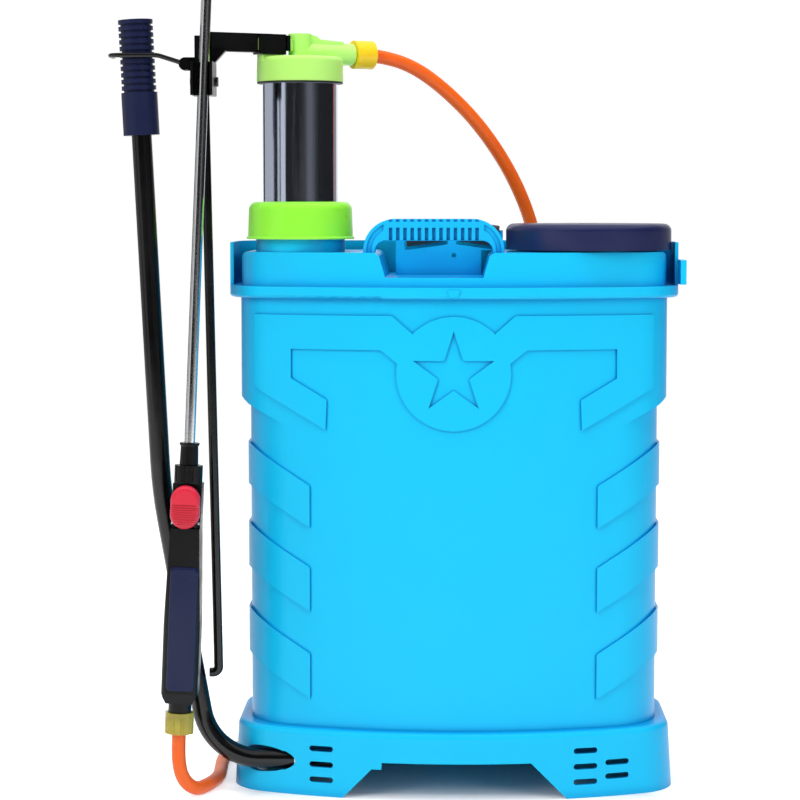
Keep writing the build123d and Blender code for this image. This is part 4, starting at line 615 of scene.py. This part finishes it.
class SPRAYER_OT_pump(bpy.types.Operator):
    """Gives the pump, its collar, chamber, cap and arm their materials"""

    bl_idname = "sprayer.pump"
    bl_label = "Dress the pump"

    def execute(self, context):
        colours = context.scene.sprayer_colours
        collar, cap, nut = tuple(colours.collar), tuple(colours.cap), tuple(colours.nut)
        dress(moulded("collar_green", collar, (0.22, 0.85, 0.03), 0.3, 0.3), "pump_collar")
        dress(moulded("cap_lime", cap, (0.38, 0.9, 0.1), 0.3, 0.35), "chamber_cap")
        dress(moulded("nut_yellow", nut, (0.9, 0.62, 0.01), 0.33, 0.25), "upper_hose_nut", "nozzle_cap")
        dress(steel("chamber_steel", 0.11, (1, 1, 0.02), (0.62, 0.68, 0.84)), "air_chamber")
        dress(painted("pin_paint", BLACK[0]), "hook_pin", "link_pin")
        dress(steel("pin_steel", 0.25), "axle_washer", "axle_split_pin", "trigger_pin")
        dress(steel("inner_steel", 0.2), "foot_valve_ball", "delivery_ball", "valve_stem", "trigger_spring")
        inner = moulded("inner_white", (0.82, 0.83, 0.8), (0.72, 0.74, 0.72), 0.4)
        dress(
            inner,
            "pump_barrel",
            "guide_bush",
            "foot_valve_seat",
            "suction_strainer",
            "chamber_plug",
            "plunger_tube",
            "piston",
            "lever_bushes",
            "swirl_core",
        )
        seal = soft_rubber("seal_black", (0.012, 0.012, 0.013), 0.5, 0.0)
        dress(seal, "collar_gasket", "piston_cup", "cap_seal", "lid_gasket")
        clear = Shader("relief_clear", (0.9, 0.97, 0.9), 0.12)
        clear.set(Transmission_Weight=0.7)
        clear.bump((clear.noise(300.0), "Fac", 0.00005))
        dress(clear.material, "relief_plug")
        dress(moulded("arm_black", *BLACK, 0.3, 0.0), "pump_arm", "arm_clip")
        return {"FINISHED"}


class SPRAYER_OT_lever(bpy.types.Operator):
    """Gives the lever, its grip, hook and link rod their materials"""

    bl_idname = "sprayer.lever"
    bl_label = "Dress the lever"

    def execute(self, context):
        dress(painted("lever_paint", BLACK[0]), "lever_tube", "link_rod", "lever_hook")
        dress(moulded("grip_navy", (0.007, 0.011, 0.045), (0.013, 0.018, 0.06), 0.36, 0.0), "lever_grip")
        return {"FINISHED"}


class SPRAYER_OT_lance(bpy.types.Operator):
    """Gives the lance, its valve handle, trigger and nuts their materials"""

    bl_idname = "sprayer.lance"
    bl_label = "Dress the lance"

    def execute(self, context):
        colours = context.scene.sprayer_colours
        trigger = tuple(colours.trigger)
        dress(
            moulded("handle_black", *BLACK, 0.28, 0.0),
            "handle_body",
            "gland_nut",
            "lance_socket",
            "nozzle_body",
        )
        dress(moulded("panel_navy", (0.006, 0.011, 0.05), (0.011, 0.017, 0.065), 0.2, 0.0), "grip_panel")
        dress(moulded("trigger_red", trigger, (0.6, 0.01, 0.035), 0.28, 0.1), "trigger_button")
        dress(steel("lance_steel", 0.14, (1, 1, 0.03)), "lance_tube")
        olive = Shader("nut_olive", (0.62, 0.5, 0.05), 0.25)
        olive.mottle((0.66, 0.55, 0.05), (0.42, 0.36, 0.04), 60.0)
        olive.set(Transmission_Weight=0.35, Subsurface_Weight=0.2, Subsurface_Scale=0.006)
        olive.bump((olive.noise(400.0), "Fac", 0.00004))
        dress(olive.material, "lower_hose_nut")
        return {"FINISHED"}


class SPRAYER_OT_hose(bpy.types.Operator):
    """Runs the hose from the pump's outlet round the back to the lance"""

    bl_idname = "sprayer.hose"
    bl_label = "Run the hose"

    def execute(self, context):
        diameter = context.scene.sprayer_hose.diameter
        orange = soft_rubber("hose_orange", tuple(context.scene.sprayer_colours.hose))
        upper = hose_curve("upper_hose", UPPER_ROUTE, diameter, orange, "chamber")
        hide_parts("hose_upper")
        lower = hose_curve("lower_hose", LOWER_ROUTE, diameter, orange, "lance")
        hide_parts("hose_lower")
        return {"FINISHED"}


class Strap:
    """Where one shoulder strap hangs: it leaves its loop at the top and runs out to the base's foot."""

    def __init__(self, side, name, x):
        self.name = name
        self.start = Vector((x, 0, 0.4725))
        self.run = (Vector((side * 0.112, 0, 0.026)) - self.start).normalized()
        self.across = Vector((-self.run.z, 0, self.run.x))

    def at(self, y, along, across=0.0):
        point = self.start + self.run * along + self.across * across
        return Vector((point.x, y, point.z))


class SPRAYER_OT_straps(bpy.types.Operator):
    """Hangs the shoulder straps with their loops, pads, piping, stitching and buckles"""

    bl_idname = "sprayer.straps"
    bl_label = "Hang the straps"

    def loops(self, settings, fabric):
        """The loops that come through the plate, over the rim and down the back."""
        whole = bmesh.new()
        whole.loops.layers.uv.new("weave")
        for strap, slant in zip(STRAPS, (8, -8)):
            lean = math.radians(slant)
            along = Vector((-math.sin(lean), 0, math.cos(lean)))
            across = Vector((math.cos(lean), 0, math.sin(lean)))
            corners = [Vector((0, y, 0)) + strap.start + along * rise for y, rise in LOOP_PROFILE]
            radii = (0.003, 0.003, 0.008, 0.008, 0.005)
            mesh = ribbon(rounded_line(corners, radii, 0.006), across, settings.width, settings.thickness)
            whole.from_mesh(mesh)
        mesh = bpy.data.meshes.new("loops")
        whole.to_mesh(mesh)
        whole.free()
        made = piece("webbing_loops", mesh, fabric, "tank")
        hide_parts("strap_loops")

    def web(self, strap, settings, fabric, thread):
        corners = [strap.at(y, along) for y, along in WEB_PROFILE]
        line = rounded_line(corners, (0.030, 0.040, 0.080, 0.040))
        mesh = ribbon(line, strap.across, settings.width, settings.thickness)
        made = piece(f"webbing_{strap.name}", mesh, fabric, "tank")
        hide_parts(f"strap_web_{strap.name}")
        edge = settings.width / 2 - STITCH_INSET
        low, high = STITCHED
        cross = low + 2 * edge
        seams = [((low, across), (high, across)) for across in (-edge, edge)]
        seams += [((along, -edge), (along, edge)) for along in (low, high)]
        seams += [((low, -edge), (cross, edge)), ((low, edge), (cross, -edge))]
        outside = SWELL + settings.thickness / 2
        rows = [([strap.at(outside, *end) for end in seam], (0, 1, 0)) for seam in seams]
        sewn = piece(f"stitching_{strap.name}", stitches(rows), thread, "tank")

    def pad(self, strap, fabric, edging):
        """A foam pad in a sewn cover, with a piped rim and two sewn channels."""
        width, length, depth = 0.050, 0.173, 0.0074
        middle = strap.at(SWELL - 0.0011 - depth / 2, 0.1905)
        mesh = pillow(width, length, depth - 0.003, width / 4)
        made = piece(f"pad_{strap.name}", mesh, fabric, "tank")
        blow_up(made, limit=0.0022)
        lean = math.atan2(strap.run.x, -strap.run.z)
        turn = Quaternion((0, 1, 0), -lean)
        channels = (-0.009, 0.009)
        for vertex in mesh.vertices:
            pinch = max(math.exp(-(((vertex.co.x - x) / 0.0016) ** 2)) for x in channels)
            if abs(vertex.co.z) > length / 2 - 0.016:
                pinch = 0
            vertex.co.y = max(-depth / 2, min(depth / 2, vertex.co.y * (1 - 0.45 * pinch)))
            vertex.co = turn @ vertex.co + middle
        finer = made.modifiers.new("finer", "SUBSURF")
        finer.levels = finer.render_levels = 1
        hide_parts(f"strap_pad_{strap.name}")
        rim = bpy.data.curves.new("piping", "CURVE")
        rim.dimensions = "3D"
        rim.bevel_depth = 0.0012
        rim.bevel_resolution = 3
        spline = rim.splines.new("POLY")
        corner = width / 4
        places = []
        for quarter in range(4):
            sign = ((1, 1), (-1, 1), (-1, -1), (1, -1))[quarter]
            for step in range(7):
                angle = (quarter + step / 6) * math.pi / 2
                x = sign[0] * (width / 2 - corner) + corner * math.cos(angle)
                z = sign[1] * (length / 2 - corner) + corner * math.sin(angle)
                places.append(turn @ Vector((x, 0, z)) + middle)
        spline.points.add(len(places) - 1)
        for control, place in zip(spline.points, places):
            control.co = (*place, 1)
        spline.use_cyclic_u = True
        spline.use_smooth = True
        rim.materials.append(edging)
        piping = bpy.data.objects.new(f"piping_{strap.name}", rim)
        bpy.context.scene.collection.objects.link(piping)
        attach(piping, "tank")

    def execute(self, context):
        settings = context.scene.sprayer_straps
        fabric = webbing_fabric("webbing_black", (0.012, 0.012, 0.014), settings.pitch)
        thread = soft_rubber("thread_grey", (0.10, 0.10, 0.11), 0.6, 0.0)
        cover = padded_cover("pad_cover", (0.014, 0.014, 0.017))
        edging = padded_cover("pad_edging", (0.02, 0.02, 0.024))
        self.loops(settings, fabric)
        for strap in STRAPS:
            self.web(strap, settings, fabric, thread)
            self.pad(strap, cover, edging)
        dress(moulded("buckle_black", *BLACK, 0.34, 0.0), "strap_buckle_left", "strap_buckle_right")
        return {"FINISHED"}


class SPRAYER_OT_stage(bpy.types.Operator):
    """Sets up the floor, backdrop, lamps and camera"""

    bl_idname = "sprayer.stage"
    bl_label = "Set the stage"

    def pale(self, name, strength):
        """Diffuse white that the camera and mirrors see brighter, so it stays pale, with a painted shadow
        where that glow is cut on the floor under the base.
        """
        material = bpy.data.materials.new(name)
        material.use_nodes = True
        tree = material.node_tree
        surface = tree.nodes["Principled BSDF"]
        surface.inputs["Base Color"].default_value = (0.9, 0.9, 0.9, 1)
        surface.inputs["Roughness"].default_value = 0.9
        surface.inputs["Emission Color"].default_value = (1, 1, 1, 1)
        glow = tree.nodes.new("ShaderNodeMath")
        glow.operation = "MULTIPLY"
        tree.links.new(self.seen(tree, strength).outputs["Value"], glow.inputs[0])
        # Painted shadow: the glow is cut on the floor under the base.
        tree.links.new(self.painted_shadow_under_base(tree).outputs["Value"], glow.inputs[1])
        tree.links.new(glow.outputs["Value"], surface.inputs["Emission Strength"])
        return material

    def painted_shadow_under_base(self, tree):
        """Painted shadow: a value that falls to nought on the floor under the base, cutting the floor's glow
        there so the floor seen through the base's slots stays dark.
        """
        where = tree.nodes.new("ShaderNodeTexCoord")
        apart = tree.nodes.new("ShaderNodeSeparateXYZ")
        tree.links.new(where.outputs["Object"], apart.inputs["Vector"])
        widest = tree.nodes.new("ShaderNodeMath")
        widest.operation = "MAXIMUM"
        for number, (axis, reach) in enumerate((("X", 0.186), ("Y", 0.088))):
            size = tree.nodes.new("ShaderNodeMath")
            size.operation = "ABSOLUTE"
            ramp = tree.nodes.new("ShaderNodeMapRange")
            ramp.inputs["From Min"].default_value = reach - 0.02
            ramp.inputs["From Max"].default_value = reach + 0.02
            tree.links.new(apart.outputs[axis], size.inputs[0])
            tree.links.new(size.outputs["Value"], ramp.inputs["Value"])
            tree.links.new(ramp.outputs["Result"], widest.inputs[number])
        return widest

    def seen(self, tree, strength, floor=0.0):
        """A value that is raised for rays from the camera, mirrors and glass."""
        path = tree.nodes.new("ShaderNodeLightPath")
        first = tree.nodes.new("ShaderNodeMath")
        first.operation = "MAXIMUM"
        second = tree.nodes.new("ShaderNodeMath")
        second.operation = "MAXIMUM"
        scale = tree.nodes.new("ShaderNodeMath")
        scale.operation = "MULTIPLY_ADD"
        scale.inputs[1].default_value = strength - floor
        scale.inputs[2].default_value = floor
        tree.links.new(path.outputs["Is Camera Ray"], first.inputs[0])
        tree.links.new(path.outputs["Is Glossy Ray"], first.inputs[1])
        tree.links.new(first.outputs["Value"], second.inputs[0])
        tree.links.new(path.outputs["Is Transmission Ray"], second.inputs[1])
        tree.links.new(second.outputs["Value"], scale.inputs[0])
        return scale

    def lamp(self, name, place, aim, size, power):
        data = bpy.data.lights.new(name, "AREA")
        data.shape = "RECTANGLE"
        data.size, data.size_y = size
        data.energy = power
        made = bpy.data.objects.new(name, data)
        made.location = place
        made.rotation_euler = (Vector(aim) - Vector(place)).to_track_quat("-Z", "Y").to_euler()
        made.visible_glossy = False
        bpy.context.scene.collection.objects.link(made)

    def screen(self, name, first, last, distance, glow):
        """An upright bent screen round the object that only mirrors see."""
        steps = max(1, round((last - first) / 6))
        places, faces = [], []
        for step in range(steps + 1):
            turn = math.radians(first + (last - first) * step / steps)
            for height in (-0.3, 3.4):
                places.append((distance * math.sin(turn), -distance * math.cos(turn), height))
            if step:
                faces.append((2 * step - 2, 2 * step, 2 * step + 1, 2 * step - 1))
        mesh = bpy.data.meshes.new(name)
        mesh.from_pydata(places, [], faces)
        shade = bpy.data.materials.new(name)
        shade.use_nodes = True
        surface = shade.node_tree.nodes["Principled BSDF"]
        surface.inputs["Base Color"].default_value = (0, 0, 0, 1)
        surface.inputs["Specular IOR Level"].default_value = 0
        surface.inputs["Emission Color"].default_value = (1, 1, 1, 1)
        surface.inputs["Emission Strength"].default_value = glow
        mesh.materials.append(shade)
        made = bpy.data.objects.new(name, mesh)
        made.visible_camera = False
        made.visible_diffuse = False
        made.visible_shadow = False
        made.visible_transmission = False
        bpy.context.scene.collection.objects.link(made)

    def execute(self, context):
        stage = context.scene.sprayer_stage
        shape = bmesh.new()
        reach, back, radius = 9.0, 7.0, 2.0
        profile = [(-reach, 0.0), (back - radius, 0.0)]
        for step in range(1, stage.backdrop + 1):
            turn = step / stage.backdrop * math.pi / 2
            profile.append((back - radius + radius * math.sin(turn), radius - radius * math.cos(turn)))
        profile.append((back, 9.0))
        rows = [[shape.verts.new((x, y, z)) for x in (-reach, reach)] for y, z in profile]
        for near, far in zip(rows, rows[1:]):
            shape.faces.new((near[0], near[1], far[1], far[0])).smooth = True
        mesh = bpy.data.meshes.new("backdrop")
        shape.to_mesh(mesh)
        shape.free()
        mesh.materials.append(self.pale("backdrop_white", 0.6))
        backdrop = bpy.data.objects.new("backdrop", mesh)
        context.scene.collection.objects.link(backdrop)

        world = bpy.data.worlds.new("studio")
        context.scene.world = world
        world.use_nodes = True
        sky = world.node_tree.nodes["Background"]
        sky.inputs["Color"].default_value = (1, 1, 1, 1)
        seen = self.seen(world.node_tree, 1.0, 0.38)
        world.node_tree.links.new(seen.outputs["Value"], sky.inputs["Strength"])

        light = stage.light
        self.lamp("key", (-1.6, -2.2, 2.0), (0, 0, 0.35), (1.2, 1.6), 40 * light)
        self.lamp("fill", (1.9, -2.0, 1.2), (0, 0, 0.35), (1.0, 1.8), 20 * light)
        self.lamp("top", (0.1, -0.2, 2.6), (0, 0, 0.3), (1.6, 1.6), 34 * light)
        for number, screen in enumerate(SCREENS):
            self.screen(f"screen_{number}", *screen)

        camera = bpy.data.cameras.new("camera")
        camera.lens = stage.lens
        camera.clip_end = 50
        made = bpy.data.objects.new("camera", camera)
        made.location = stage.eye
        aim = Vector(stage.aim) - Vector(stage.eye)
        made.rotation_euler = aim.to_track_quat("-Z", "Y").to_euler()
        context.scene.collection.objects.link(made)
        context.scene.camera = made
        context.scene.view_settings.view_transform = "Standard"
        return {"FINISHED"}


class SPRAYER_PT_panel(bpy.types.Panel):
    """Lists the sprayer's pieces and settings"""

    bl_idname = "SPRAYER_PT_panel"
    bl_label = "Backpack sprayer"
    bl_space_type = "VIEW_3D"
    bl_region_type = "UI"
    bl_category = "Sprayer"

    def draw(self, context):
        for operator in OPERATORS:
            self.layout.operator(operator.bl_idname)
        for group in GROUPS:
            settings = getattr(context.scene, GROUPS[group])
            box = self.layout.box()
            for name in group.__annotations__:
                box.prop(settings, name)


STRAPS = (Strap(-1, "left", -0.0245), Strap(1, "right", 0.021))
GROUPS = {
    SprayerColours: "sprayer_colours",
    SprayerHose: "sprayer_hose",
    SprayerStraps: "sprayer_straps",
    SprayerStage: "sprayer_stage",
}
OPERATORS = (
    SPRAYER_OT_tank,
    SPRAYER_OT_pump,
    SPRAYER_OT_lever,
    SPRAYER_OT_lance,
    SPRAYER_OT_hose,
    SPRAYER_OT_straps,
    SPRAYER_OT_stage,
)


def register():
    for group, name in GROUPS.items():
        bpy.utils.register_class(group)
        setattr(bpy.types.Scene, name, PointerProperty(type=group))
    for operator in OPERATORS:
        bpy.utils.register_class(operator)
    bpy.utils.register_class(SPRAYER_PT_panel)


def unregister():
    bpy.utils.unregister_class(SPRAYER_PT_panel)
    for operator in reversed(OPERATORS):
        bpy.utils.unregister_class(operator)
    for group, name in GROUPS.items():
        delattr(bpy.types.Scene, name)
        bpy.utils.unregister_class(group)


def main():
    register()
    for operator in OPERATORS:
        group, name = operator.bl_idname.split(".")
        getattr(getattr(bpy.ops, group), name)()


if __name__ == "__main__":
    main()
